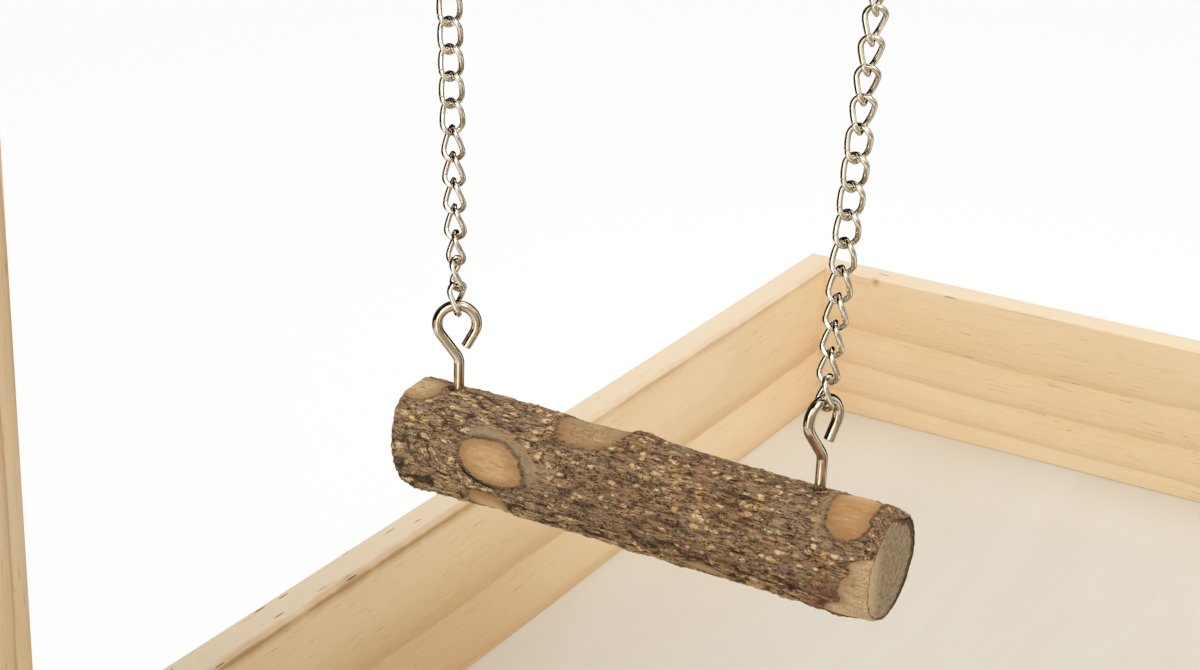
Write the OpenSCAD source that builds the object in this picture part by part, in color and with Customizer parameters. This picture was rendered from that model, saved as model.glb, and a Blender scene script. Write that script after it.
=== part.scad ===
// Bird play stand: an open pine tray, a post-and-branch frame screwed to its side walls, and a
// branch perch that swings from the frame on two curb chains.
// Millimetres. +Z is up, +X runs along the perch, +Y runs to the back of the tray.
// The origin is on the table, under the middle of the tray.

/* [Tray] */
// Outside width of the tray, along the perch
tray_w = 392; // [330:1:450]
// Outside length of the tray, front to back
tray_l = 640; // [540:1:760]
// Height of the tray's walls
wall_h = 75.5; // [60:0.5:95]
// Thickness of the tray's walls
wall_t = 13.5; // [11:0.5:18]
// Radius of the sanded top edges of the walls
wall_edge_r = 1.2; // [0.5:0.1:2.5]
// Thickness of the floor panel
floor_t = 4; // [3:0.5:6]
// Height of the floor panel's underside above the table
floor_z = 2; // [1:0.5:8]
// Depth of the groove that holds the floor panel
groove_d = 5; // [3:0.5:6]
// Distance of the corner nails from a wall's top and bottom edges
nail_edge = 18; // [14:1:22]
// Diameter of a nail's shank
nail_d = 1.6; // [1.2:0.1:2.4]
// Diameter of a nail's head
nail_head_d = 3; // [2.6:0.1:4]
// Thickness of a nail's head
nail_head_t = 0.9; // [0.6:0.1:1.5]
// Length of a nail
nail_l = 32; // [24:1:45]

/* [Frame] */
// Distance of the frame in front of the tray's middle
frame_forward = 212; // [120:1:230]
// Width of an upright, front to back
upright_w = 22; // [18:1:40]
// Thickness of an upright
upright_t = 12; // [9:0.5:18]
// Diameter of the crossbar branch
crossbar_d = 27; // [24:0.5:34]
// Distance of the upright's screws from the wall's top and bottom edges
upright_screw_edge = 20; // [16:1:24]
// Diameter of a screw's shank
screw_d = 3.5; // [2.5:0.1:4.5]
// Diameter of a screw's head
screw_head_d = 7; // [6:0.1:9]
// Height of a screw's domed head
screw_head_h = 2.4; // [1.5:0.1:3.5]
// Depth of a wall screw's point past the upright
wall_screw_bite = 10; // [6:0.5:10]
// Depth of a crossbar screw's point past the upright
crossbar_screw_bite = 28; // [15:1:45]

/* [Perch] */
// Height of the perch's middle line above the table
perch_z = 217; // [170:1:250]
// Length of the perch branch
perch_l = 120; // [105:1:150]
// Diameter of the perch branch
perch_d = 25.8; // [22:0.2:30]
// Distance of the left loop's crown from the perch's left end
perch_inset_left = 9.6; // [8:0.1:20]
// Distance of the right loop's crown from the perch's right end
perch_inset_right = 18.1; // [10:0.1:24]
// Slant of the saw cut at the perch's left end
perch_saw_slant = 8; // [0:1:12]

/* [Screw eyes] */
// Diameter of a screw eye's wire
eye_wire_d = 2.4; // [2.1:0.05:2.5]
// Radius of a screw eye's loop, to the middle of its wire
eye_loop_r = 4.5; // [4:0.1:6]
// Slant of a screw eye's neck from the shank
eye_neck_angle = 36; // [30:1:45]
// Radius of the bend between neck and shank, to the middle of the wire
eye_bend_r = 4.2; // [3:0.1:5]
// Distance of the shank from the loop's middle
eye_shank_offset = 0.65; // [0:0.05:1.2]
// Straight shank between the bend and the wood
eye_shank_out = 6.6; // [3:0.1:9]
// Length of the shank in the wood
eye_shank_in = 11; // [8:0.5:12]
// Angle below the loop's middle at which its open end runs straight
eye_open_angle = 28; // [22:1:34]
// Straight stretch at the loop's open end
eye_tip_l = 3.9; // [1:0.1:4.2]
// Turn of the left perch eye's loop from the perch's line
eye_turn_left = 35; // [20:1:50]
// Turn of the right perch eye's loop from the perch's line
eye_turn_right = 72; // [60:1:85]

/* [Chains] */
// Number of links in each chain
chain_links = 22; // [18:1:28]
// Diameter of the chain's wire
chain_wire_d = 1.2; // [1:0.05:1.25]
// Inside width of a link
link_inner_w = 3.35; // [3.3:0.05:4]
// Inside length of a link
link_inner_l = 6.28; // [5.6:0.02:7]
// Twist of a link's end from the link's own plane
link_twist = 45; // [40:1:50]
// Lean of each chain, outwards to the crossbar
chain_lean = 2.75; // [0:0.05:5]

/* [Hidden] */

// Clearances
panel_fit = 0.2;
fastener_fit = 0.05;
chain_gap = 0.18;
eye_gap = 0.35;
overcut = 1;

// Sides
left = -1;
right = 1;

// Places that several pieces share
frame_y = -frame_forward;
inner_w = tray_w - 2 * wall_t;
inner_l = tray_l - 2 * wall_t;

// Screw eye, in its own plane: the hook point is the middle of the wire at the loop's crown,
// and the shank points down
eye_tangent = [-eye_loop_r * cos(eye_neck_angle), -eye_loop_r * (1 + sin(eye_neck_angle))];
eye_bend_end_x = eye_shank_offset - eye_bend_r * (1 - cos(eye_neck_angle));
eye_neck_l = (eye_bend_end_x - eye_tangent[0]) / sin(eye_neck_angle);
eye_bend_end = [eye_bend_end_x, eye_tangent[1] - eye_neck_l * cos(eye_neck_angle)];
eye_bend_z = eye_bend_end[1] - eye_bend_r * sin(eye_neck_angle);
eye_wood_z = eye_bend_z - eye_shank_out;
bend_lap = 0.1;
bend_thinning = 0.03;

// Chain link: half sizes of the middle line of its wire
link_half_w = (link_inner_w + chain_wire_d) / 2;
link_half_l = (link_inner_l + chain_wire_d) / 2;
link_pitch = link_inner_l - chain_gap;
link_seat = (eye_wire_d + chain_wire_d) / 2 + eye_gap;
chain_l = 2 * (link_half_l - link_seat) + (chain_links - 1) * link_pitch;

// Heights from the perch up to the crossbar
perch_hook_z = perch_z + perch_d / 2 - eye_wood_z;
hanger_hook_z = perch_hook_z + chain_l * cos(chain_lean);
crossbar_z = hanger_hook_z - eye_wood_z + crossbar_d / 2;
perch_eye_spacing = perch_l - perch_inset_left - perch_inset_right;
perch_x = (perch_inset_right - perch_inset_left) / 2;
hanger_spacing = perch_eye_spacing + 2 * chain_l * sin(chain_lean);
hanger_turn = 0;

// Turn of each link about the chain's line, counted up from the perch
left_turns = [[0, -80], [1, -55], [2, -30], [3, -15], [6, -8], [7, 22], [8, 30], [11, 35],
              [chain_links - 1, 135]];
right_turns = [[0, -50], [1, -30], [3, -20], [5, 2], [7, 25], [9, 30], [10, 58], [13, 70],
               [chain_links - 1, 135]];

// Facets of the branches and the links
perch_sides = 32;
perch_step = 3.2;
crossbar_sides = 26;
crossbar_step = 9;
saw_edge = 1;
link_sides = 6;
link_arc_steps = 6;

// Knots and shaved flats: place along the branch, angle round it from the front, half length,
// rise of the flat over the bark, and height of the swollen collar
perch_left = -perch_l / 2;
perch_right = perch_l / 2;
perch_knots = [
    [perch_left + 28, 20, 9, 0.4, 2.2],
    [perch_left + 26, -34, 5.5, -0.6, 0],
    [perch_left + 47, 98, 9.5, -0.5, 0],
    [perch_left + 58.5, 98, 4.5, 3, 1.3],
    [perch_left + 1, 86, 8, -0.7, 0],
    [perch_right - 9, 82, 10, 0.9, 1.8],
    [perch_right - 39.5, -44, 6, -0.5, 0],
    [perch_right - 30, 195, 8, 0.4, 2]
];
crossbar_left = -tray_w / 2;
crossbar_right = tray_w / 2;
crossbar_knots = [
    [crossbar_left + 54, 70, 10, 0.5, 2.4],
    [crossbar_left + 98, 200, 9, 0.4, 2.2],
    [-16, 20, 11, -0.8, 0],
    [26, 120, 9, 0.5, 2.4],
    [crossbar_right - 90, 330, 10, 0.4, 2.2],
    [crossbar_right - 42, 160, 12, -0.9, 0]
];

// Report the joint places for the record
echo(perch_hook_z = perch_hook_z, hanger_hook_z = hanger_hook_z, crossbar_z = crossbar_z,
     hanger_spacing = hanger_spacing, chain_l = chain_l, link_pitch = link_pitch);
echo(upper_joint = chain_point(right, chain_joint_top()), lower_joint = chain_point(right, chain_joint_low()));

// Vectors
function unit(v) = v / norm(v);
function across(v, along) = unit(v - (v * along) * along);

// Branches

// Swelling of the collar round one knot at a place on the bark
function collar(knot, x, angle, radius) =
    let (along = (x - knot[0]) / knot[2],
         around = short_turn(angle - knot[1]) * PI / 180 * radius / (0.8 * knot[2]))
    knot[4] * exp(-along * along - around * around);

// Angle brought into the half turn either side of zero
function short_turn(angle) = angle - 360 * round(angle / 360);

// Radius at which the flat of one knot cuts the branch
function flat_radius(knot, x, angle, radius) =
    let (turn = short_turn(angle - knot[1]),
         along = (x - knot[0]) / knot[2],
         dish = max(0.5, -1.3 * knot[3]))
    abs(turn) < 60 ? (radius + knot[3] + dish * along * along) / cos(turn) : 2 * radius;

// Radius of the bark: a round with slow waves, swollen at the knots and cut by their flats
function bark_radius(x, angle, radius, knots) =
    let (waves = 0.022 * sin(2 * angle + 1.9 * x) + 0.016 * sin(3 * angle - 2.6 * x + 40)
                 + 0.012 * sin(4.1 * x + 70),
         swollen = radius * (1 + waves)
                   + max([for (k = knots) collar(k, x, angle, radius)]))
    min(concat([swollen], [for (k = knots) flat_radius(k, x, angle, radius)]));

// Places of the rings along a branch, with a close pair at each sawn end
function ring_places(length, step, edge) =
    let (count = ceil((length - 2 * edge) / step))
    concat([-length / 2], [for (i = [0:count]) -length / 2 + edge + i * (length - 2 * edge) / count],
           [length / 2]);

// A branch lying along X, with sawn ends whose edge is broken by the saw; the cut at its left end
// may slant, and the rings near it lean with it
module branch(length, diameter, knots, sides, step, slant = 0) {
    places = ring_places(length, step, saw_edge);
    last = len(places) - 1;
    n = sides;
    rim = [for (i = [0:last]) i == 0 || i == last ? saw_edge / 2 : 0];
    lean = [for (x = places) tan(slant) * max(0, 1 - (x + length / 2) / diameter)];
    bark = [for (i = [0:last], j = [0:n - 1])
        let (a = 360 * j / n,
             r = bark_radius(places[i], a, diameter / 2, knots) - rim[i])
        [places[i] - lean[i] * r * sin(a), -r * cos(a), r * sin(a)]];
    ends = [[places[0], 0, 0], [places[last], 0, 0]];
    first_end = len(bark);
    skin = [for (i = [0:last - 1], j = [0:n - 1])
        let (k = (j + 1) % n)
        each [[i * n + j, i * n + k, (i + 1) * n + j], [i * n + k, (i + 1) * n + k, (i + 1) * n + j]]];
    caps = [for (j = [0:n - 1])
        let (k = (j + 1) % n)
        each [[first_end, k, j], [first_end + 1, last * n + j, last * n + k]]];
    polyhedron(concat(bark, ends), concat(skin, caps));
}

// Screw eyes

// Straight wire between two points of the eye's plane, run on into a bend at its start or its end
module wire_run(from, to, lap_start, lap_end) {
    run = to - from;
    translate([from[0], 0, from[1]])
        rotate([0, atan2(run[0], run[1]), 0])
            translate([0, 0, -lap_start])
                cylinder(d = eye_wire_d, h = lap_start + norm(run) + lap_end, $fn = 32);
}

// Bent wire in the eye's plane, from one angle to a larger one, drawn a little thinner by bending
module wire_bend(middle, radius, start, end) {
    translate([middle[0], 0, middle[1]])
        rotate([90, 0, 0])
            rotate([0, 0, start])
                rotate_extrude(angle = end - start, $fn = 64)
                    translate([radius, 0])
                        circle(d = eye_wire_d - bend_thinning, $fn = 32);
}

// A screw eye with its hook point at the origin, its loop in the XZ plane and its shank down
module screw_eye() {
    loop_middle = [0, -eye_loop_r];
    loop_end = loop_middle + eye_loop_r * [cos(eye_open_angle), -sin(eye_open_angle)];
    tip = loop_end - eye_tip_l * [sin(eye_open_angle), cos(eye_open_angle)];
    shank_top = [eye_shank_offset, eye_bend_z];
    wire_run([eye_shank_offset, eye_wood_z - eye_shank_in], shank_top, 0, bend_lap);
    wire_bend(shank_top - [eye_bend_r, 0], eye_bend_r, 0, eye_neck_angle);
    wire_run(eye_bend_end, eye_tangent, bend_lap, bend_lap);
    wire_bend(loop_middle, eye_loop_r, -eye_open_angle, 180 + eye_neck_angle);
    wire_run(loop_end, tip, bend_lap, 0);
}

// The hole that a screw eye's shank turns into
module shank_hole() {
    translate([eye_shank_offset, 0, eye_wood_z - eye_shank_in])
        cylinder(d = eye_wire_d + 2 * fastener_fit, h = 2 * eye_shank_in, $fn = 32);
}

// Place of a perch eye, turned as it was screwed in
module at_perch_eye(side) {
    translate([side * perch_eye_spacing / 2, frame_y, perch_hook_z])
        rotate([0, 0, side == left ? eye_turn_left : eye_turn_right])
            children();
}

// Place of a hanger eye, upside down under the crossbar
module at_hanger_eye(side) {
    translate([side * hanger_spacing / 2, frame_y, hanger_hook_z])
        rotate([180, 0, hanger_turn])
            children();
}

// Chains

// Stations round a link's middle line: place and outward direction in the link's own plane
link_stations = concat(
    [for (i = [0:link_arc_steps]) link_station(180 * i / link_arc_steps, link_half_l - link_half_w)],
    [[-link_half_w, 0, -1, 0]],
    [for (i = [0:link_arc_steps]) link_station(180 + 180 * i / link_arc_steps, link_half_w - link_half_l)],
    [[link_half_w, 0, 1, 0]]
);
function link_station(angle, middle) =
    [link_half_w * cos(angle), middle + link_half_w * sin(angle), cos(angle), sin(angle)];

// The link's plane turns as it rises, so that one end crosses the next link square
function plane_turn(height) = -link_twist * height / link_half_l;
function in_turned_plane(out, up, height) =
    [out * cos(plane_turn(height)), out * sin(plane_turn(height)), up];
link_line = [for (s = link_stations) in_turned_plane(s[0], s[1], s[1])];

// Ring of points round the wire at one station
function link_ring(i) =
    let (count = len(link_stations),
         along = unit(link_line[(i + 1) % count] - link_line[(i + count - 1) % count]),
         s = link_stations[i],
         out = across(in_turned_plane(s[2], s[3], s[1]), along),
         side = cross(along, out))
    [for (j = [0:link_sides - 1])
        link_line[i] + chain_wire_d / 2 * (cos(360 * j / link_sides) * out + sin(360 * j / link_sides) * side)];

// One curb link standing on its end round the Z axis
module link() {
    count = len(link_stations);
    n = link_sides;
    points = [for (i = [0:count - 1]) each link_ring(i)];
    faces = [for (i = [0:count - 1], j = [0:n - 1])
        let (next = (i + 1) % count, k = (j + 1) % n)
        each [[i * n + j, next * n + j, i * n + k], [i * n + k, next * n + j, next * n + k]]];
    polyhedron(points, faces);
}

// Height of a link's middle up the chain's line from the perch's hook point
function link_height(i) = link_half_l - link_seat + i * link_pitch;

// Middle of the crossing between two links, counted by the lower one
function crossing_height(i) = link_height(i) + link_pitch / 2;
function chain_joint_low() = crossing_height(0);
function chain_joint_top() = crossing_height(chain_links - 2);

// Point on a chain's line at a height up from the perch's hook point
function chain_point(side, height) =
    [side * (perch_eye_spacing / 2 + height * sin(chain_lean)), frame_y,
     perch_hook_z + height * cos(chain_lean)];

// Some of the links of one chain
module links(side, first, last) {
    turns = side == left ? left_turns : right_turns;
    translate(chain_point(side, 0))
        rotate([0, side * chain_lean, 0])
            for (i = [first:last])
                translate([0, 0, link_height(i)])
                    rotate([0, 0, lookup(i, turns)])
                        link();
}

// Fasteners

// A nail along +Z with its head flush at the origin
module nail(grow) {
    translate([0, 0, -nail_head_t])
        cylinder(d = nail_head_d + 2 * grow, h = nail_head_t, $fn = 32);
    translate([0, 0, -nail_l])
        cylinder(d = nail_d + 2 * grow, h = nail_l - nail_head_t, $fn = 32);
}

// Corner nails, driven through a side wall into the end of the front or back wall
module corner_nails(side, grow = 0) {
    for (end = [-1, 1], height = [nail_edge, wall_h - nail_edge])
        translate([side * tray_w / 2, end * (tray_l - wall_t) / 2, height])
            rotate([0, side * 90, 0])
                nail(grow);
}

// Shank of a screw along -Z, under a head that sits at the origin
module screw_shank(length, grow = 0) {
    translate([0, 0, -length])
        cylinder(d = screw_d + 2 * grow, h = length, $fn = 32);
}

// A domed screw that points along -Z
module screw(length) {
    dome_r = (screw_head_d * screw_head_d / 4 + screw_head_h * screw_head_h) / (2 * screw_head_h);
    screw_shank(length);
    intersection() {
        cylinder(d = screw_head_d, h = screw_head_h, $fn = 48);
        translate([0, 0, screw_head_h - dome_r])
            sphere(r = dome_r, $fn = 64);
    }
}

// Place of the screw that holds the crossbar to an upright
module at_crossbar_screw(side) {
    translate([side * (tray_w / 2 + upright_t), frame_y, crossbar_z])
        rotate([0, side * 90, 0])
            children();
}

// Places of the screws that hold an upright to its wall
module at_upright_screws(side) {
    for (height = [upright_screw_edge, wall_h - upright_screw_edge])
        translate([side * (tray_w / 2 + upright_t), frame_y, height])
            rotate([0, side * 90, 0])
                children();
}

// Tray

// Section of a wall: a board with its two top edges rounded
module wall_section() {
    translate([-wall_t / 2, 0])
        square([wall_t, wall_h - wall_edge_r]);
    translate([-wall_t / 2 + wall_edge_r, 0])
        square([wall_t - 2 * wall_edge_r, wall_h]);
    for (x = [-1, 1])
        translate([x * (wall_t / 2 - wall_edge_r), wall_h - wall_edge_r])
            circle(r = wall_edge_r, $fn = 32);
}

// A wall along Y
module wall(length) {
    translate([0, length / 2, 0])
        rotate([90, 0, 0])
            linear_extrude(length)
                wall_section();
}

// Groove round the tray's inside that holds the edge of the floor panel
module floor_groove() {
    translate([-inner_w / 2 - groove_d, -inner_l / 2 - groove_d, floor_z])
        cube([inner_w + 2 * groove_d, inner_l + 2 * groove_d, floor_t + panel_fit]);
}

module side_wall(side) {
    color("burlywood")
        difference() {
            translate([side * (tray_w - wall_t) / 2, 0, 0])
                wall(tray_l);
            floor_groove();
            corner_nails(side, fastener_fit);
            at_upright_screws(side)
                screw_shank(upright_t + wall_screw_bite, fastener_fit);
        }
}

module end_wall(end) {
    color("burlywood")
        difference() {
            translate([0, end * (tray_l - wall_t) / 2, 0])
                rotate([0, 0, 90])
                    wall(inner_w);
            floor_groove();
            for (side = [left, right])
                corner_nails(side, fastener_fit);
        }
}

module tray_floor() {
    reach = groove_d - panel_fit;
    color("antiquewhite")
        translate([-inner_w / 2 - reach, -inner_l / 2 - reach, floor_z])
            cube([inner_w + 2 * reach, inner_l + 2 * reach, floor_t]);
}

module wall_nails() {
    color("silver")
        for (side = [left, right])
            corner_nails(side);
}

// Frame

module upright(side) {
    color("burlywood")
        difference() {
            translate([side * (tray_w + upright_t) / 2 - upright_t / 2, frame_y, 0])
                rotate([90, 0, 90])
                    linear_extrude(upright_t) {
                        translate([-upright_w / 2, 0])
                            square([upright_w, crossbar_z]);
                        translate([0, crossbar_z])
                            circle(d = upright_w, $fn = 64);
                    }
            at_upright_screws(side)
                screw_shank(upright_t + overcut, fastener_fit);
            at_crossbar_screw(side)
                screw_shank(upright_t + overcut, fastener_fit);
        }
}

module upright_screws() {
    color("silver")
        for (side = [left, right])
            at_upright_screws(side)
                screw(upright_t + wall_screw_bite);
}

module crossbar_screws() {
    color("silver")
        for (side = [left, right])
            at_crossbar_screw(side)
                screw(upright_t + crossbar_screw_bite);
}

module crossbar() {
    color("rosybrown")
        difference() {
            translate([0, frame_y, crossbar_z])
                branch(tray_w, crossbar_d, crossbar_knots, crossbar_sides, crossbar_step);
            for (side = [left, right]) {
                at_hanger_eye(side)
                    shank_hole();
                at_crossbar_screw(side)
                    screw_shank(upright_t + crossbar_screw_bite, fastener_fit);
            }
        }
}

module hanger_eye(side) {
    color("lightgray")
        at_hanger_eye(side)
            screw_eye();
}

// Swing

module hanger_link(side) {
    color("gainsboro")
        links(side, chain_links - 1, chain_links - 1);
}

module chain(side) {
    color("gainsboro")
        links(side, 1, chain_links - 2);
}

module eye_link(side) {
    color("gainsboro")
        links(side, 0, 0);
}

module perch() {
    color("rosybrown")
        difference() {
            translate([perch_x, frame_y, perch_z])
                branch(perch_l, perch_d, perch_knots, perch_sides, perch_step, perch_saw_slant);
            for (side = [left, right])
                at_perch_eye(side)
                    shank_hole();
        }
}

module perch_eye(side) {
    color("lightgray")
        at_perch_eye(side)
            screw_eye();
}

side_wall(left);  // tray_wall_left
side_wall(right);  // tray_wall_right
end_wall(1);  // tray_wall_back
end_wall(-1);  // tray_wall_front
tray_floor();
wall_nails();
upright(left);  // upright_left
upright(right);  // upright_right
upright_screws();
crossbar();
crossbar_screws();
hanger_eye(left);  // hanger_eye_left
hanger_eye(right);  // hanger_eye_right
hanger_link(left);  // hanger_link_left
hanger_link(right);  // hanger_link_right
chain(left);  // chain_left
chain(right);  // chain_right
eye_link(left);  // eye_link_left
eye_link(right);  // eye_link_right
perch();
perch_eye(left);  // perch_eye_left
perch_eye(right);  // perch_eye_right
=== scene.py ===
"""Looks of a bird play stand: a pine tray with a branch perch swinging over it on curb chains."""

import logging
import math
from dataclasses import dataclass, field
from enum import Enum
from types import MappingProxyType
from typing import Any, Mapping, Sequence, Union

import bpy
import numpy as np
from mathutils import Matrix, Vector

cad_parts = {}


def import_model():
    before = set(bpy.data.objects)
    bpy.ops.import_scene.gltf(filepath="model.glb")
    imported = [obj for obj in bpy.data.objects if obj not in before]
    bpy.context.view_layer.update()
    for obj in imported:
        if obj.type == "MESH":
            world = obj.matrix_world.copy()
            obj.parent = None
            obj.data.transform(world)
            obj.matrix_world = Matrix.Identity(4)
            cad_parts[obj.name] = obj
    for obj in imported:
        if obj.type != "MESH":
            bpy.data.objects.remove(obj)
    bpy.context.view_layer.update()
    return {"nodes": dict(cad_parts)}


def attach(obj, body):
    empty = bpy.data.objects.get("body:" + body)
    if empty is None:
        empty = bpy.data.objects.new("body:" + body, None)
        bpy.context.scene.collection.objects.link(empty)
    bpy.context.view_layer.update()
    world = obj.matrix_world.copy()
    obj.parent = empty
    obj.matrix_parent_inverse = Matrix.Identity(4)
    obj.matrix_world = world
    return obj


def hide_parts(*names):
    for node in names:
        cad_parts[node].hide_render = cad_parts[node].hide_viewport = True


LOG = logging.getLogger("bird_play_stand")
MM = 0.001
NOTHING: Mapping[Any, Any] = MappingProxyType({})
ORIGIN = (0.0, 0.0, 0.0)

Colour = tuple[float, float, float]
Place = tuple[float, float, float]
Span = tuple[float, float]
Number = Union["Signal", float]
Value = Union["Signal", float, Sequence[float]]


class Side(Enum):
    """Left or right end of the swing, as a sign along X."""

    LEFT = -1
    RIGHT = 1

    @property
    def word(self) -> str:
        """Name of the side as the nodes spell it."""
        return self.name.lower()


class Axis(Enum):
    """An axis of the frame, by its number."""

    X = 0
    Y = 1
    Z = 2


class Wood(Enum):
    """How a bare place on a branch was laid open, with its tone from 0 to 1."""

    STUB = 0.0
    SHAVED = 0.33
    SCOOPED = 0.67
    PEELED = 1.0


class Head(Enum):
    """Kind of a fastener's head."""

    DOMED = "domed on its seat, with a driver's cross"
    FLUSH = "flat and driven flush"


def srgb(red: int, green: int, blue: int) -> Colour:
    """Turns a colour from 0 to 255 into the linear light that shaders take.

    Args:
        red, green, blue: The colour as a screen shows it.

    Returns:
        The three linear values.
    """
    def linear(value: float) -> float:
        """Undoes the screen's curve for one channel."""
        return value / 12.92 if value <= 0.04045 else ((value + 0.055) / 1.055) ** 2.4

    return linear(red / 255), linear(green / 255), linear(blue / 255)


# Shader expressions


@dataclass(frozen=True)
class Signal:
    """A shader socket that is reckoned with like a number."""

    sheet: "NodeSheet"
    socket: bpy.types.NodeSocket

    def __add__(self, other: Number) -> "Signal":
        """This value plus another."""
        return self.sheet.math("ADD", self, other)

    __radd__ = __add__

    def __sub__(self, other: Number) -> "Signal":
        """This value less another."""
        return self.sheet.math("SUBTRACT", self, other)

    def __rsub__(self, other: float) -> "Signal":
        """A number less this value."""
        return self.sheet.math("SUBTRACT", other, self)

    def __mul__(self, other: Number) -> "Signal":
        """This value times another."""
        return self.sheet.math("MULTIPLY", self, other)

    __rmul__ = __mul__

    def __truediv__(self, other: Number) -> "Signal":
        """This value over another."""
        return self.sheet.math("DIVIDE", self, other)

    def __rtruediv__(self, other: float) -> "Signal":
        """A number over this value."""
        return self.sheet.math("DIVIDE", other, self)

    def __abs__(self) -> "Signal":
        """This value without its sign."""
        return self.sheet.math("ABSOLUTE", self)

    def root(self) -> "Signal":
        """Square root."""
        return self.sheet.math("SQRT", self)

    def sine(self) -> "Signal":
        """Sine of the value in radians."""
        return self.sheet.math("SINE", self)

    def rest(self) -> "Signal":
        """What is left over a whole number."""
        return self.sheet.math("FRACT", self)

    def over(self, other: Number) -> "Signal":
        """The larger of this value and another."""
        return self.sheet.math("MAXIMUM", self, other)

    def rise(self, low: float, high: float) -> "Signal":
        """Smooth step from 0 at low to 1 at high.

        Args:
            low, high: Where the step starts and ends; low above high makes it fall.

        Returns:
            The step's value from 0 to 1.
        """
        settings = {"interpolation_type": "SMOOTHSTEP"}
        ends = (low, high, 0.0, 1.0) if low < high else (high, low, 1.0, 0.0)
        names = ("From Min", "From Max", "To Min", "To Max")
        return self.sheet.node("ShaderNodeMapRange", settings, {"Value": self, **dict(zip(names, ends))})


class NodeSheet:
    """A node tree that shader expressions fill."""

    def __init__(self, tree: bpy.types.NodeTree, output: str) -> None:
        """Empties a tree and gives it an output node.

        Args:
            tree: The tree of a material or of the world.
            output: Type of the output node.
        """
        self.tree = tree
        self.tree.nodes.clear()
        self.output = self.tree.nodes.new(output)

    def put(self, socket: bpy.types.NodeSocket, value: Value) -> None:
        """Sets a socket's value, or links what is given to it.

        Args:
            socket: The socket to fill.
            value: A signal, a number or a colour.
        """
        if isinstance(value, Signal):
            self.tree.links.new(value.socket, socket)
        elif socket.type == "RGBA":
            socket.default_value = (*value, 1.0)
        else:
            socket.default_value = value

    def node(self, kind: str, settings: Mapping[str, Any] = NOTHING,
             inputs: Mapping[Union[int, str], Value] = NOTHING, out: Union[int, str] = 0) -> Signal:
        """Adds a node: its settings first, then the values or links of its sockets.

        Args:
            kind: The node's type.
            settings: Its properties by name.
            inputs: Values by socket name or number.
            out: The output that is wanted.

        Returns:
            That output as a signal.
        """
        made = self.tree.nodes.new(kind)
        for name, value in settings.items():
            setattr(made, name, value)
        for name, value in inputs.items():
            self.put(made.inputs[name], value)
        return Signal(self, made.outputs[out])

    def show(self, shader: Signal) -> None:
        """Ends the tree in a shader."""
        self.put(self.output.inputs[0], shader)

    def math(self, operation: str, *values: Number) -> Signal:
        """A Math node on the values given."""
        return self.node("ShaderNodeMath", {"operation": operation}, dict(enumerate(values)))

    def vector(self, operation: str, *values: Value, out: Union[int, str] = 0) -> Signal:
        """A Vector Math node on the values given."""
        return self.node("ShaderNodeVectorMath", {"operation": operation}, dict(enumerate(values)), out)

    def millimetres(self) -> Signal:
        """Object coordinates in millimetres."""
        return self.vector("MULTIPLY", self.node("ShaderNodeTexCoord", out="Object"), (1 / MM,) * 3)

    def split(self, vector: Signal) -> tuple[Signal, Signal, Signal]:
        """The three parts of a vector."""
        first = self.node("ShaderNodeSeparateXYZ", inputs={0: vector})
        return tuple(Signal(self, socket) for socket in first.socket.node.outputs)

    def join(self, x: Value, y: Value, z: Value) -> Signal:
        """A vector from its three parts."""
        return self.node("ShaderNodeCombineXYZ", inputs={0: x, 1: y, 2: z})

    def mark(self, name: str) -> tuple[Signal, Signal, Signal]:
        """The three channels of a mesh attribute."""
        return self.split(self.node("ShaderNodeAttribute", {"attribute_name": name}, out="Vector"))

    def scaled(self, at: Signal, per_mm: Place, shift: Place = ORIGIN) -> Signal:
        """A place counted in features along each axis, then shifted."""
        return self.vector("MULTIPLY_ADD", at, per_mm, shift)

    def noise(self, at: Signal, per_mm: Place, detail: float = 2.0, rough: float = 0.5,
              warp: float = 0.0, shift: Place = ORIGIN) -> Signal:
        """Smooth noise from 0 to 1.

        Args:
            at: Where it is read.
            per_mm: Features per millimetre along each axis.
            detail: Octaves.
            rough: Strength of the finer octaves.
            warp: How far the noise distorts itself.
            shift: Where in the noise it starts.

        Returns:
            The noise value.
        """
        place = self.scaled(at, per_mm, shift)
        inputs = {"Vector": place, "Scale": 1.0, "Detail": detail, "Roughness": rough, "Distortion": warp}
        return self.node("ShaderNodeTexNoise", {"noise_dimensions": "3D"}, inputs)

    def cells(self, at: Signal) -> tuple[Signal, tuple[Signal, Signal, Signal]]:
        """Scattered points, one in each cell of a grid.

        Args:
            at: Where they are read.

        Returns:
            The distance to the nearest point, and three random values of its own.
        """
        inputs = {"Vector": at, "Scale": 1.0}
        near, own = (self.node("ShaderNodeTexVoronoi", {"feature": "F1"}, inputs, out)
                     for out in ("Distance", "Color"))
        return near, self.split(own)

    def mix(self, first: Value, second: Value, share: Number) -> Signal:
        """A colour between two others.

        Args:
            first: The colour at share 0.
            second: The colour at share 1.
            share: How much of the second shows.

        Returns:
            The mixed colour.
        """
        settings = {"data_type": "RGBA", "clamp_factor": True}
        return self.node("ShaderNodeMix", settings, {0: share, 6: first, 7: second}, 2)

    def layers(self, base: Value, *coats: tuple[Value, Number]) -> Value:
        """Colours laid over a base one after the other.

        Args:
            base: The colour at the bottom.
            coats: Each colour with the share of it that covers what lies below.

        Returns:
            The colour that shows.
        """
        for colour, share in coats:
            base = self.mix(base, colour, share)
        return base

    def bump(self, height: Signal, depth_mm: float, strength: float) -> Signal:
        """A normal tilted by a height map, for relief finer than the mesh."""
        inputs = {"Strength": strength, "Distance": depth_mm * MM, "Height": height}
        return self.node("ShaderNodeBump", inputs=inputs, out="Normal")

    def glow(self, colour: Colour) -> Signal:
        """A shader that shows a colour without light."""
        return self.node("ShaderNodeEmission", inputs={"Color": colour, "Strength": 1.0})


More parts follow.
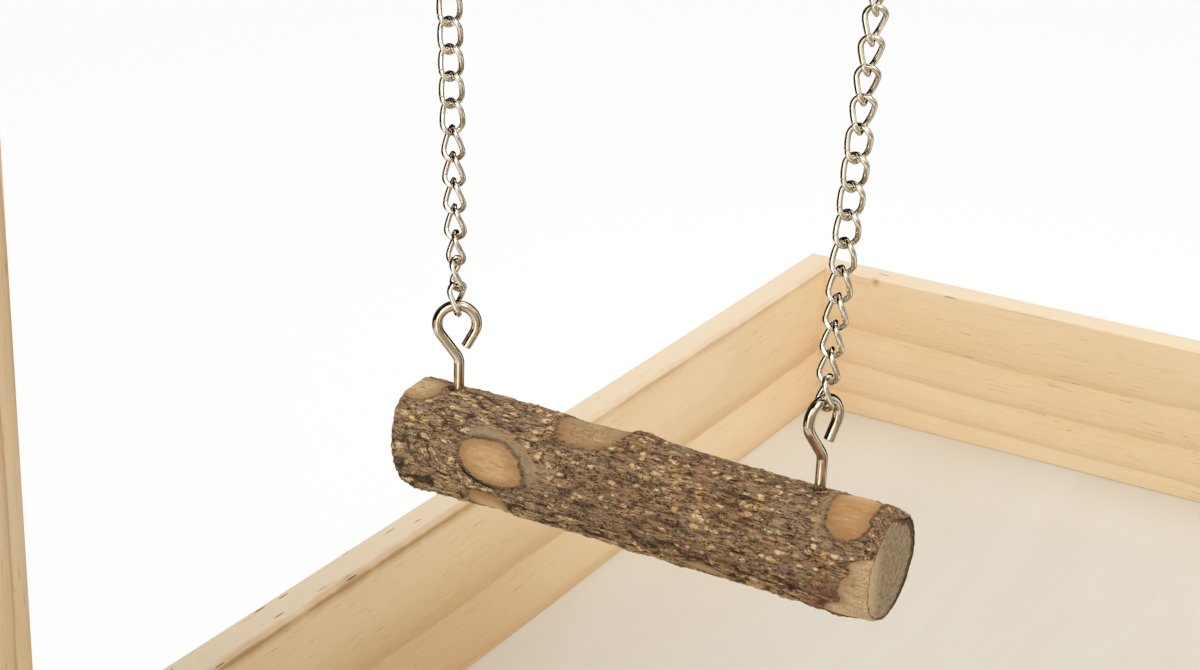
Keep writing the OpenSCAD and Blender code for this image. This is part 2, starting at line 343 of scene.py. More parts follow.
class Paint(NodeSheet):
    """The node tree of a material."""

    def __init__(self, name: str) -> None:
        """Makes an empty material.

        Args:
            name: The material's name.
        """
        self.material = bpy.data.materials.new(name)
        self.material.use_nodes = True
        super().__init__(self.material.node_tree, "ShaderNodeOutputMaterial")

    def finish(self, **sockets: Value) -> bpy.types.Material:
        """Ends the tree in a Principled shader.

        Args:
            sockets: Values by socket name, with an underscore for each space.

        Returns:
            The finished material.
        """
        inputs = {name.replace("_", " "): value for name, value in sockets.items()}
        self.show(self.node("ShaderNodeBsdfPrincipled", inputs=inputs))
        return self.material


# Finishes


@dataclass(frozen=True)
class Pine:
    """Sanded pine, cut from a log whose growth rings run round a far pith.

    The board shows the rings as a solid does: a ring's place is the distance from the pith line,
    so faces, edges and end grain agree. Flecks of resin lie along the top edge at fleck_z, up to
    fleck_far along the grain. A share of late-wood tone is painted low on the near end of the board
    as painted shade. A pin knot may lie at a place of its own, and so may a dark strip along the
    inner top edge, the brow: a brown streak in the wood that is also painted shade, darkening the
    light that the eased edge catches.
    """

    name: str
    along: Axis
    pith: Span
    first_ring: float
    ring_mm: float
    seed: float
    contrast: float = 0.8
    wander_mm: float = 7.0
    early: Colour = srgb(231, 205, 165)
    late: Colour = srgb(200, 160, 108)
    pale: Colour = srgb(233, 211, 177)
    edge: Colour = srgb(225, 207, 180)
    resin: Colour = srgb(70, 46, 30)
    knot: Colour = srgb(152, 112, 70)
    fleck_z: float = 75.0
    flecks: float = 0.1
    fleck_far: float = 999.0
    # share of painted shade: late-wood tone laid low on the near end of the board
    heart: float = 0.0
    pin: Place = (0.0, 0.0, -99.0)
    # the brow: a brown streak along the inner top edge, partly painted shade over the eased edge
    brow: Place = (0.0, 0.0, -99.0)

    @property
    def lengthwise(self) -> Place:
        """The seed as a shift along the grain."""
        return self.seed, 0.0, 0.0

    def across(self, parts: Sequence[Signal]) -> list[Signal]:
        """The two parts of a vector that lie across the grain."""
        return [part for number, part in enumerate(parts) if number != self.along.value]

    def late_wood(self, s: NodeSheet, board: Signal, fibre: Signal) -> Signal:
        """How late in its year the wood grew.

        The ring's place is |(p, q) - pith| with drifting noise. It climbs slowly, then fast, and
        drops where the next year starts.

        Args:
            s: The material's nodes.
            board: The place along and across the grain.
            fibre: Noise along the grain.

        Returns:
            0 for early wood to 1 for late wood.
        """
        backward = (-self.seed, 0.0, 0.0)
        drift = s.noise(board, (0.0045, 0.012, 0.012), shift=self.lengthwise) - 0.5
        sway = s.noise(board, (0.006, 0.015, 0.015), shift=backward) - 0.5
        _, p, q = s.split(board)
        dp = p - self.pith[0] + drift * self.wander_mm
        dq = q - self.pith[1] + sway * self.wander_mm
        radius = (dp * dp + dq * dq).root() + (fibre - 0.5) * 2.2
        ring = ((radius - self.first_ring) / self.ring_mm).rest()
        return (0.35 * ring.rise(0.2, 0.8) + 0.65 * ring.rise(0.72, 0.96)) * ring.rise(1.0, 0.965)

    def canals(self, s: NodeSheet, board: Signal, run: Signal, height: Signal) -> Signal:
        """Short resin flecks: long cells, of which few are filled.

        Args:
            s: The material's nodes.
            board: The place along and across the grain.
            run: The place along the grain alone.
            height: The place along Z.

        Returns:
            1 in a fleck, else 0.
        """
        near, (luck, _, _) = s.cells(s.scaled(board, (0.085, 0.95, 0.95), self.lengthwise))
        on_top = 0.03 + 0.97 * height.rise(self.fleck_z - 1.0, self.fleck_z)
        rare = 1 - self.flecks * on_top * run.rise(self.fleck_far, self.fleck_far - 80.0)
        return near.rise(0.3, 0.2) * ((luck - rare) * 40.0).rise(0.0, 1.0)

    def material(self) -> bpy.types.Material:
        """Builds the nodes: the rings, then stripes, flecks, knots and end grain over them.

        Returns:
            The material.
        """
        s = Paint(self.name)
        place = s.millimetres()
        parts = s.split(place)
        run, height = parts[self.along.value], parts[Axis.Z.value]
        board = s.join(run, *self.across(parts))
        crosswise = (0.0, 0.0, self.seed)
        fibre = s.noise(board, (0.028, 1.2, 1.2), 4.0, 0.62, shift=self.lengthwise)
        hair = s.noise(board, (0.16, 5.0, 5.0), 3.0, 0.6, shift=crosswise)
        cloud = s.noise(board, (0.009, 0.03, 0.03), 3.0, shift=crosswise)
        dash = s.noise(board, (0.1, 2.1, 2.1), shift=self.lengthwise)
        width = s.noise(board, (0.03, 0.0, 0.0), 3.0, 0.6, shift=self.lengthwise)
        pores = s.noise(board, (0.3, 2.6, 2.6), 3.0, 0.7)
        late = self.late_wood(s, board, fibre)
        canal = self.canals(s, board, run, height)
        u, v = self.across(s.split(s.vector("SUBTRACT", place, self.brow)))
        brow = (u * u + v * v).root() + (fibre - 0.5) * 1.6 + (width - 0.5) * 6.0
        soft = 0.35 + 0.65 * run.rise(90.0, -40.0)
        away = s.vector("DISTANCE", place, self.pin, out="Value")
        facing = s.split(s.node("ShaderNodeNewGeometry", out="Normal"))[self.along.value]
        sawn = abs(facing).rise(0.6, 0.9)
        body = s.layers(
            self.early,
            (self.pale, cloud.rise(0.35, 0.7)),
            (self.late, late * self.contrast),
            (self.late, fibre.rise(0.5, 0.78) * 0.3),
            # painted shade: the board turns towards late wood low down at its near end
            (self.late, self.heart * run.rise(150.0, -30.0) * height.rise(60.0, 34.0)),
            (self.edge, height.rise(self.fleck_z - 0.6, self.fleck_z + 0.4) * 0.85),
            (self.pale, hair.rise(0.5, 0.75) * 0.3),
            (self.knot, hair.rise(0.4, 0.26) * 0.22),
            (self.knot, dash.rise(0.64, 0.74) * cloud.rise(0.62, 0.4) * 0.5),
            # the brow: a brown streak of the wood, also painted shade that darkens the light the eased edge
            # catches, stronger at the near end
            (self.late, brow.rise(3.6, 1.2) * soft * 0.65),
            (self.knot, (brow + (hair - 0.5) * 1.2).rise(1.2, 0.4) * soft * 0.5),
            (self.resin, canal * 0.92),
            (self.late, (away + (hair - 0.5) * 2).rise(3.4, 1.0) * 0.4),
            (self.resin, (away + (hair - 0.5) * 1.2).rise(1.3, 0.6) * 0.35),
            (self.late, sawn * (0.25 + 0.5 * pores.rise(0.45, 0.7))),
        )
        relief = fibre * 0.6 + hair * 0.5 - canal * 1.2 + late * 0.5
        return s.finish(Base_Color=body, Roughness=0.58 + 0.16 * fibre - 0.08 * late,
                        Normal=s.bump(relief, 0.12, 0.5), Specular_IOR_Level=0.35)


@dataclass(frozen=True)
class Ply:
    """Pale sanded veneer: long soft figure, fine fibre and a scatter of tiny pores."""

    name: str
    base: Colour = srgb(210, 205, 194)
    figure: Colour = srgb(203, 192, 174)
    pore: Colour = srgb(200, 180, 152)

    def material(self) -> bpy.types.Material:
        """Builds the nodes.

        Returns:
            The material.
        """
        s = Paint(self.name)
        place = s.millimetres()
        swirl = s.noise(place, (0.014, 0.003, 0.01), warp=0.6)
        figure = (swirl * 34.0).sine() * 0.5 + 0.5
        fibre = s.noise(place, (1.3, 0.035, 1.0), 4.0, 0.6)
        cloud = s.noise(place, (0.011, 0.007, 1.0))
        pore = s.noise(place, (2.4, 0.22, 1.0)).rise(0.68, 0.76)
        body = s.layers(
            self.base,
            (self.figure, figure * 0.16 + cloud.rise(0.35, 0.8) * 0.3),
            (self.figure, fibre.rise(0.45, 0.75) * 0.3),
            (self.pore, pore * 0.25),
        )
        return s.finish(Base_Color=body, Roughness=0.6 + 0.14 * fibre,
                        Normal=s.bump(fibre - pore * 0.6, 0.08, 0.4), Specular_IOR_Level=0.3)


class BarkGround:
    """Places, noise and mesh marks that the layers of a bark finish read.

    The branch's mesh carries three marks: "bark" (pore, fissure, callus), "cut" (millimetres
    inside a bare place, its tone, crevice) and "end" (sawn face, millimetres in from its rim,
    screw seat).
    """

    def __init__(self, s: NodeSheet, centre: Span) -> None:
        """Adds the nodes.

        Args:
            s: The material's nodes.
            centre: Y and Z of the branch's middle line.
        """
        self.place = s.millimetres()
        self.x, self.y, self.z = s.split(self.place)
        self.dy, self.dz = self.y - centre[0], self.z - centre[1]
        self.pore, self.fissure, self.callus = s.mark("bark")
        self.inside, self.tone, self.crevice = s.mark("cut")
        self.end, self.rim, self.seat = s.mark("end")
        self.streak = s.noise(self.place, (0.225, 1.25, 1.25), 4.0, 0.62)
        self.fibre = s.noise(self.place, (0.192, 1.32, 1.32), 4.0, 0.62)
        self.grit = s.noise(self.place, (2.2, 2.2, 2.2), 4.0, 0.7)
        self.crumb = s.noise(self.place, (0.7875, 1.05, 1.05), 3.0, 0.6)
        self.grit_shift, self.crumb_shift = self.grit - 0.5, self.crumb - 0.5
        torn = s.join(self.crumb_shift * 1.312, self.grit_shift * 0.984, self.crumb_shift * 1.312)
        flakes = s.vector("ADD", s.scaled(self.place, (0.41, 0.82, 0.82)), torn)
        self.near, (self.luck, self.hue, self.tint) = s.cells(flakes)


@dataclass(frozen=True)
class Bark:
    """Rough bark with raised pale pores, bare and shaved places, and sawn ends.

    Noise on Object coordinates breaks up the edges of the mesh's marks. Left of a given place the
    bark is painted paler over a given run, with more and paler chips and specks: partly the bark's
    own pale chips, partly painted light for an end that the lamps light less.
    """

    name: str
    centre: Span
    # where the painted light that pales the left end starts, and the run over which it comes in full
    pale_from: float = -900.0
    pale_run: float = 40.0
    dark: Colour = srgb(108, 76, 48)
    warm: Colour = srgb(194, 152, 106)
    plum: Colour = srgb(147, 115, 100)
    olive: Colour = srgb(140, 119, 86)
    grey: Colour = srgb(176, 153, 124)
    rust: Colour = srgb(160, 114, 78)
    raw: Colour = srgb(122, 76, 54)
    crack: Colour = srgb(28, 16, 8)
    pore: Colour = srgb(243, 210, 158)
    tan: Colour = srgb(220, 178, 122)
    callus: Colour = srgb(174, 148, 112)
    stub: Colour = srgb(206, 167, 119)
    shaved: Colour = srgb(184, 144, 94)
    scooped: Colour = srgb(178, 150, 110)
    peeled: Colour = srgb(206, 182, 140)
    heart: Colour = srgb(158, 112, 68)
    sawn: Colour = srgb(170, 150, 117)
    sawn_dark: Colour = srgb(106, 83, 56)

    def shell(self, s: NodeSheet, g: BarkGround) -> tuple[Value, Signal, Signal, Signal]:
        """The bark itself: streaks and flakes, pale chips, cracks and the smooth callus.

        Args:
            s: The material's nodes.
            g: What the layers read.

        Returns:
            Its colour, and how far a place is a chip, a crack and callus.
        """
        mottle = s.noise(g.place, (0.1, 0.16, 0.16), 3.0, 0.6)
        dash = s.noise(g.place, (0.22, 1.15, 1.15), 3.0, 0.6, 0.4)
        shred = s.noise(g.place, (0.105, 1.5, 1.5), 3.0, 0.6)
        speck = s.noise(g.place, (1.955, 2.3, 2.3), 2.0, 0.6).rise(0.57, 0.65)
        # painted light: towards the left end the bark is painted paler, with more and paler chips and
        # specks, partly the bark's own pale chips
        pale = g.x.rise(self.pale_from, self.pale_from - self.pale_run)
        gap = g.crumb.rise(0.43, 0.32) * (0.45 + 0.35 * pale) + g.near.rise(0.6, 0.85) * 0.15
        flake = (g.near + g.grit_shift * 1.3 - pale * 0.08).rise(0.62, 0.46)
        flake = flake * (g.luck + pale * 0.28).rise(0.75, 0.79) * g.pore.rise(-0.6, -0.2)
        chip = (g.pore + g.grit_shift * 1.8 + g.crumb_shift * 1.4).rise(0.1, 0.45).over(flake)
        chip_colour = s.mix(self.tan, self.pore, g.hue.rise(0.4, 0.8).over(pale * 0.3))
        crack = (g.fissure + g.grit_shift * 0.9).rise(0.32, 0.68)
        seam = abs(dash - 0.5).rise(0.036, 0.01)
        raw = g.tone.rise(0.8, 0.95) * g.inside.rise(-8.0, -2.0) * g.dz.rise(3.0, -3.0)
        callus = (g.callus + g.crumb_shift * 1.2).rise(0.25, 0.7)
        wrinkle = (g.inside * 0.8 + g.crumb_shift * 3.0).rest()
        fold = s.mix(self.callus, self.dark, wrinkle.rise(0.5, 0.95) * wrinkle.rise(1.0, 0.95) * 0.4)
        colour = s.layers(
            self.dark,
            (self.warm, g.streak.rise(0.38, 0.62)),
            (self.plum, g.hue.rise(0.5, 0.7) * 0.55),
            (self.olive, g.tint.rise(0.6, 0.8) * 0.5),
            (self.grey, mottle.rise(0.5, 0.66) * 0.4),
            (self.rust, mottle.rise(0.48, 0.34) * 0.5),
            (self.crack, gap),
            (self.tan, shred.rise(0.44, 0.56) * g.dz.rise(-3.0, -8.5)),
            (self.crack, g.grit.rise(0.42, 0.33) * 0.3),
            (self.grey, pale * 0.25),
            (self.tan, speck * (0.26 + 0.6 * pale)),
            (chip_colour, chip * 0.95),
            (self.crack, (crack * 0.85).over(seam * 0.95)),
            (self.raw, raw * 0.6),
            (fold, callus * 0.75),
        )
        return colour, chip, crack, callus

    def wood(self, s: NodeSheet, g: BarkGround) -> Value:
        """The bare wood, in the tone of the way it was laid open.

        Args:
            s: The material's nodes.
            g: What the layers read.

        Returns:
            Its colour.
        """
        broad = s.noise(g.place, (0.09, 0.22, 0.22))
        shaved = g.tone.rise(0.1, 0.25)
        scooped = g.tone.rise(0.42, 0.58)
        crown = g.dy.rise(-4.5, 0.5) * g.dz.rise(6.0, 9.0)
        year = (g.inside * 0.75 + (g.fibre - 0.5) * 1.6).rest()
        ring = year.rise(0.35, 0.95) * year.rise(1.0, 0.95)
        return s.layers(
            self.stub,
            (self.shaved, shaved),
            (self.scooped, scooped),
            (self.peeled, g.tone.rise(0.75, 0.92)),
            (self.heart, g.fibre.rise(0.5, 0.7) * 0.5 + broad.rise(0.45, 0.65) * 0.35),
            (self.pore, (g.fibre.rise(0.46, 0.32) * 0.3).over(g.dz.rise(-4.0, -11.0) * 0.6)),
            (self.pore, crown * shaved * g.tone.rise(0.5, 0.35) * 0.4),
            (self.heart, ring * g.tone.rise(0.25, 0.1) * 0.22),
            (self.dark, scooped * (g.grit.rise(0.52, 0.62) * 0.45 + g.crumb.rise(0.5, 0.6) * 0.3)),
        )

    def face(self, s: NodeSheet, g: BarkGround) -> tuple[Value, Signal]:
        """The sawn ends: rings, saw marks, drying checks and the rind of bark round them.

        Args:
            s: The material's nodes.
            g: What the layers read.

        Returns:
            Their colour, and the height of the saw marks.
        """
        radius = (g.dy * g.dy + g.dz * g.dz).root() + g.crumb_shift * 2.0
        ring = (radius / 2.3).rest()
        stroke = s.join(g.x, g.y * 0.22 + g.z * 0.7, g.z * 0.25 - g.y * 0.6)
        saw = s.noise(stroke, (1.2, 1.2, 1.2), 3.0, 0.7)
        blotch = s.noise(g.place, (0.75, 1.25, 1.25), 3.0, 0.6, shift=(0.0, 0.0, 50.0))
        check = s.noise(g.place, (0.55, 0.55, 0.55), 3.0, 0.6).rise(0.5, 0.62)
        check = check * (ring.rise(0.4, 0.5) * ring.rise(0.6, 0.5)) * g.dy.rise(-5.0, 3.0)
        fleck = g.luck.rise(0.6, 0.65) * g.near.rise(0.36, 0.2)
        fleck = fleck * g.dy.rise(-3.0, 1.0) * radius.rise(10.5, 9.5)
        rind = s.mix(self.dark, self.crack, g.streak.rise(0.56, 0.42) * 0.7)
        rind_w = 0.25 + 1.7 * g.dy.rise(-3.0, 9.0)
        in_rind = (g.rim - rind_w) * 2.0 + g.grit_shift * 2.0 + g.crumb_shift * 4.0
        brink = g.rim + g.grit_shift * 1.2 - g.dy.rise(0.0, 9.0) * 0.5
        colour = s.layers(
            self.sawn,
            (self.sawn_dark, ring.rise(0.5, 0.98) * 0.22 + saw.rise(0.42, 0.62) * 0.5),
            (self.pore, g.dy.rise(-3.0, -11.0) * 0.5 + blotch.rise(0.55, 0.7) * 0.3),
            (self.crack, g.grit.rise(0.57, 0.65) * 0.25 + check * 0.5 + fleck * 0.75),
            (rind, in_rind.rise(1.0, 0.0) * 0.9),
            (self.crack, brink.rise(0.6, 0.05) * 0.75),
        )
        return colour, saw

    def material(self) -> bpy.types.Material:
        """Builds the nodes: bark, the lips of bare places, bare wood, sawn ends and screw seats.

        Returns:
            The material.
        """
        s = Paint(self.name)
        g = BarkGround(s, self.centre)
        bark, chip, crack, callus = self.shell(s, g)
        face, saw = self.face(s, g)
        fray = g.tone.rise(0.4, 0.6) * g.tone.rise(0.95, 0.75)
        ragged = g.inside + g.grit_shift * (1.6 + 2.4 * fray) + g.crumb_shift * (1.2 + 3.0 * fray)
        bare = ragged.rise(0.0, 0.4)
        lip = ragged.rise(-0.8, 0.0) * (1 - bare) * g.tone.rise(0.95, 0.8)
        wood = s.mix(self.wood(s, g), self.heart, ragged.rise(3.4, 0.2) * 0.7)
        body = s.layers(
            bark,
            (self.crack, lip * (0.22 + 0.2 * g.tone.rise(0.15, 0.05))),
            (wood, bare),
            (self.crack, (g.crevice + g.grit_shift * 0.6).rise(0.35, 0.75) * 0.9),
            (face, g.end.rise(0.4, 0.6)),
            # screw seats: crumbled bark and painted shade round the foot of each eye
            (self.crack, (g.seat + g.grit_shift * 0.8).rise(0.4, 0.85) * 0.7),
        )
        rugged = g.grit * 0.8 + g.streak * 0.7 + chip * 0.3 + g.crumb * 0.9 - crack * 0.5
        relief = rugged * (1 - bare).over(callus * 0.5) + g.fibre * 0.35 * bare + saw * g.end * 0.5
        return s.finish(Base_Color=body, Roughness=0.9 - 0.24 * bare - 0.08 * chip,
                        Normal=s.bump(relief, 0.38, 0.9), Specular_IOR_Level=0.2)


@dataclass(frozen=True)
class Plate:
    """Metal plating with a slight clouding and fine rub marks."""

    name: str
    bright: Colour
    clouded: Colour
    cloud_mm: float
    rough: float = 0.03
    spread: float = 0.07

    def material(self) -> bpy.types.Material:
        """Builds the nodes.

        Returns:
            The material.
        """
        s = Paint(self.name)
        place = s.millimetres()
        cloud = s.noise(place, (1 / self.cloud_mm,) * 3, 3.0, 0.6)
        rub = s.noise(place, (4.4, 4.4, 0.7), 3.0, 0.7)
        pit = s.noise(place, (3.2, 3.2, 3.2)).rise(0.7, 0.78)
        body = s.mix(self.bright, self.clouded, cloud.rise(0.35, 0.75) * 0.8 + pit * 0.3)
        return s.finish(Base_Color=body, Metallic=1.0,
                        Roughness=self.rough + self.spread * (rub * 0.6 + cloud * 0.4) + pit * 0.1,
                        Normal=s.bump(rub * 0.5 + cloud, 0.03, 0.35))


# Surfaces


def ease(value: np.ndarray) -> np.ndarray:
    """Quintic step: 6 t^5 - 15 t^4 + 10 t^3, flat at both ends."""
    return value ** 3 * (value * (6 * value - 15) + 10)


def step(value: np.ndarray, low: float, high: float) -> np.ndarray:
    """Smooth step of a whole array, from 0 at low to 1 at high (or falling, if low is above high)."""
    return ease(np.clip((value - low) / (high - low), 0.0, 1.0))


def bell(value: np.ndarray, middle: float, width: float) -> np.ndarray:
    """Bell curve exp(-((v - middle) / width)^2)."""
    return np.exp(-((value - middle) / width) ** 2)


def degrees_off(angle: np.ndarray, middle: float) -> np.ndarray:
    """Degrees from a middle, wrapped into -180 to 180."""
    return (angle - middle + 180) % 360 - 180


def unit(vectors: np.ndarray) -> np.ndarray:
    """Vectors of length one along the last axis."""
    return vectors / np.linalg.norm(vectors, axis=-1, keepdims=True)


def turned(points: np.ndarray, degrees: float, axis: Axis) -> np.ndarray:
    """Points turned about an axis through the origin."""
    return points @ np.array(Matrix.Rotation(math.radians(degrees), 3, axis.name)).T


def wire_sweep(line: np.ndarray, out: np.ndarray, radius: np.ndarray, sides: int,
               closed: bool) -> np.ndarray:
    """Carries a round section along a line.

    Each ring is line + radius (cos t out + sin t side), with out squared to the line's run and
    side = run x out.

    Args:
        line: Points of the middle line, (n, 3).
        out: A direction off the line at each point, (n, 3).
        radius: Radius at each point, (n,).
        sides: Points in a ring.
        closed: Whether the line comes back to its start.

    Returns:
        The grid of points, (n, sides, 3).
    """
    if closed:
        run = np.roll(line, -1, 0) - np.roll(line, 1, 0)
    else:
        run = np.gradient(line, axis=0)
    run = unit(run)
    out = unit(out - np.sum(out * run, 1, keepdims=True) * run)
    side = np.cross(run, out)
    turn = np.linspace(0, 2 * np.pi, sides, endpoint=False)[None, :, None]
    spoke = np.cos(turn) * out[:, None] + np.sin(turn) * side[:, None]
    return line[:, None] + radius[:, None, None] * spoke


def add_object(name: str, data: bpy.types.ID) -> bpy.types.Object:
    """Puts a new object into the scene, at the origin.

    Args:
        name: Name of the object.
        data: Its mesh, lamp or camera.

    Returns:
        The object.
    """
    made = bpy.data.objects.new(name, data)
    bpy.context.scene.collection.objects.link(made)
    return made


@dataclass
class Skin:
    """Points, faces and marks of one piece, gathered grid by grid, in millimetres."""

    points: list[np.ndarray] = field(default_factory=list)
    faces: list[list[int]] = field(default_factory=list)
    marks: dict[str, list[np.ndarray]] = field(default_factory=dict)
    count: int = 0

    def tube(self, grid: np.ndarray, closed: bool = False,
             marks: Mapping[str, np.ndarray] = NOTHING) -> "Skin":
        """Adds a grid of rings as a closed skin.

        Ring i is joined to ring i + 1 round its sides. An open run of rings is closed by a fan of
        triangles to the middle of its first and last ring.

        Args:
            grid: Points, (rings, sides, 3).
            closed: Whether the last ring joins the first.
            marks: Attribute values on the same grid, (rings, sides, 3).

        Returns:
            This skin.
        """
        rings, sides = grid.shape[:2]
        index = self.count + np.arange(rings * sides).reshape(rings, sides)
        ahead = np.roll(index, -1, 1)
        quads = np.stack([index, ahead, np.roll(ahead, -1, 0), np.roll(index, -1, 0)], -1)
        points = [grid.reshape(-1, 3)]
        faces = (quads if closed else quads[:-1]).reshape(-1, 4).tolist()
        if not closed:
            points += [grid[:1].mean(1), grid[-1:].mean(1)]
            first, last = self.count + rings * sides, self.count + rings * sides + 1
            faces += np.stack([ahead[0], index[0], np.full(sides, first)], -1).tolist()
            faces += np.stack([index[-1], ahead[-1], np.full(sides, last)], -1).tolist()
        for name, values in marks.items():
            ends = [] if closed else [values[:1].mean(1), values[-1:].mean(1)]
            self.marks.setdefault(name, []).extend([values.reshape(-1, 3), *ends])
        self.points += points
        self.faces += faces
        self.count += sum(len(block) for block in points)
        return self

    def piece(self, name: str, material: bpy.types.Material, body: str, slot: str, node: str,
              crease_deg: float) -> bpy.types.Object:
        """Makes the piece, dresses it and sets it in the place of its CAD node.

        Args:
            name: Name of the object.
            material: Its finish.
            body: The CAD body that it rides on.
            slot: Name of a material slot; not used.
            node: The CAD node that it stands for.
            crease_deg: Edges sharper than this stay sharp.

        Returns:
            The object.
        """
        mesh = bpy.data.meshes.new(name)
        mesh.from_pydata((np.concatenate(self.points) * MM).tolist(), [], self.faces)
        for label, blocks in self.marks.items():
            values = np.concatenate(blocks)
            layer = mesh.attributes.new(label, "FLOAT_VECTOR", "POINT")
            layer.data.foreach_set("vector", values.astype(np.float32).ravel())
        mesh.polygons.foreach_set("use_smooth", np.ones(len(mesh.polygons), bool))
        mesh.set_sharp_from_angle(angle=math.radians(crease_deg))
        mesh.materials.append(material)
        mesh.update()
        piece = add_object(name, mesh)
        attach(piece, body)
        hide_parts(node)
        LOG.info("%s: %d points, %d faces, rides on %s", name, len(mesh.vertices), len(mesh.polygons), body)
        return piece


# Branches


@dataclass(frozen=True)
class BarkWeather:
    """Repeatable patterns laid out along a branch and round its girth.

    Every pattern reads a table of seeded numbers. Tables wrap round the girth, so no seam shows.
    """

    seed: int
    girth: float
    rows: int = 131
    nowhere: float = -3.0

    def smooth(self, along: np.ndarray, around: np.ndarray, cell: Span, layer: int) -> np.ndarray:
        """Value noise: a table of heights, read between its points with the quintic step.

        Args:
            along, around: Places in millimetres.
            cell: Size of a table cell along and round the branch.
            layer: Which table.

        Returns:
            Heights from 0 to 1.
        """
        columns = max(4, round(self.girth / cell[1]))
        table = np.random.default_rng(self.seed + layer).random((self.rows, columns))
        u, v = along / cell[0], around / self.girth * columns
        i, j = np.floor(u).astype(int), np.floor(v).astype(int)
        fu, fv = ease(u - i), ease(v - j)
        i, j = i % self.rows, j % columns
        i_next, j_next = (i + 1) % self.rows, (j + 1) % columns
        low = table[i, j] * (1 - fu) + table[i_next, j] * fu
        high = table[i, j_next] * (1 - fu) + table[i_next, j_next] * fu
        return low * (1 - fv) + high * fv

    def pores(self, along: np.ndarray, around: np.ndarray, cell: Span, half: Span, share: float,
              layer: int) -> np.ndarray:
        """Scattered ovals: one jittered point a cell, of which a share is there.

        The value is 1 less the distance to the oval's middle in its own half sizes, and the
        largest of the nine cells about counts.

        Args:
            along, around: Places in millimetres.
            cell: Size of a cell along and round the branch.
            half: Half length and half width of an oval.
            share: Share of the cells that hold one.
            layer: Which table.

        Returns:
            1 in the middle of an oval, 0 on its edge, less outside.
        """
        columns = round(self.girth / cell[1])
        rng = np.random.default_rng(self.seed + layer)
        shift = rng.uniform(0.12, 0.88, (2, self.rows, columns))
        grown = rng.uniform(0.55, 1.35, (2, self.rows, columns))
        held = rng.random((self.rows, columns)) < share
        u, v = along / cell[0], around / self.girth * columns
        i, j = np.floor(u).astype(int), np.floor(v).astype(int)
        best = np.full(u.shape, self.nowhere)
        for di in (-1, 0, 1):
            for dj in (-1, 0, 1):
                r, c = (i + di) % self.rows, (j + dj) % columns
                du = (u - i - di - shift[0][r, c]) * cell[0] / (half[0] * grown[0][r, c])
                dv = (v - j - dj - shift[1][r, c]) * cell[1] / (half[1] * grown[1][r, c])
                best = np.maximum(best, np.where(held[r, c], 1 - np.hypot(du, dv), self.nowhere))
        return best


@dataclass(frozen=True)
class Scar:
    """A cut twig stub or shaved flat on a branch.

    Its place is millimetres along the branch's middle and degrees round it from the front, and
    its half sizes lie in the bark. The flat stands rise over the mean bark, hollowed by dish, and
    a collar swells round it. An arrow of degrees in the bark points to where the callus is thick.
    A flat ends at reach_deg to each side of its middle.
    """

    x: float
    angle: float
    half_l: float
    half_w: float
    rise: float
    collar: float
    wood: Wood
    tilt: float = 0.0
    square: float = 2.0
    callus: float = 0.0
    arrow: float = 60.0
    crevice: float = 0.0
    swell_l: float = 9.0
    reach_deg: float = 59.0

    @property
    def dish(self) -> float:
        """How much the flat curves up over its swell length; deep flats curve more."""
        return max(0.5, -1.3 * self.rise)

    def depth(self, x: np.ndarray, turn: np.ndarray, mean: float) -> tuple[np.ndarray, np.ndarray]:
        """How far a place lies inside the scar.

        The scar is a super-ellipse in the bark, turned by its tilt: e = (|p/a|^n + |q/b|^n)^(1/n).

        Args:
            x: Places along the branch.
            turn: Degrees round the branch from the scar's middle.
            mean: The branch's mean radius.

        Returns:
            Millimetres inside its edge (less than 0 outside), and the bearing from its middle.
        """
        p, q = x - self.x, np.radians(turn) * mean
        c, s = math.cos(math.radians(self.tilt)), math.sin(math.radians(self.tilt))
        p, q = p * c + q * s, q * c - p * s
        e = np.abs(p / self.half_l) ** self.square + np.abs(q / self.half_w) ** self.square
        return (1 - e ** (1 / self.square)) * min(self.half_l, self.half_w), np.degrees(np.arctan2(q, p))


@dataclass(frozen=True)
class Texture:
    """Heights of a branch's bark, each over the whole grid."""

    groove: np.ndarray
    fine_groove: np.ndarray
    lump: np.ndarray
    crust: np.ndarray
    grit: np.ndarray
    pore: np.ndarray
    wobble: np.ndarray


@dataclass
class Wounds:
    """Bare places of a branch, each value over the whole grid."""

    inside: np.ndarray
    tone: np.ndarray
    callus: np.ndarray
    crevice: np.ndarray
    collars: np.ndarray
    flat: np.ndarray


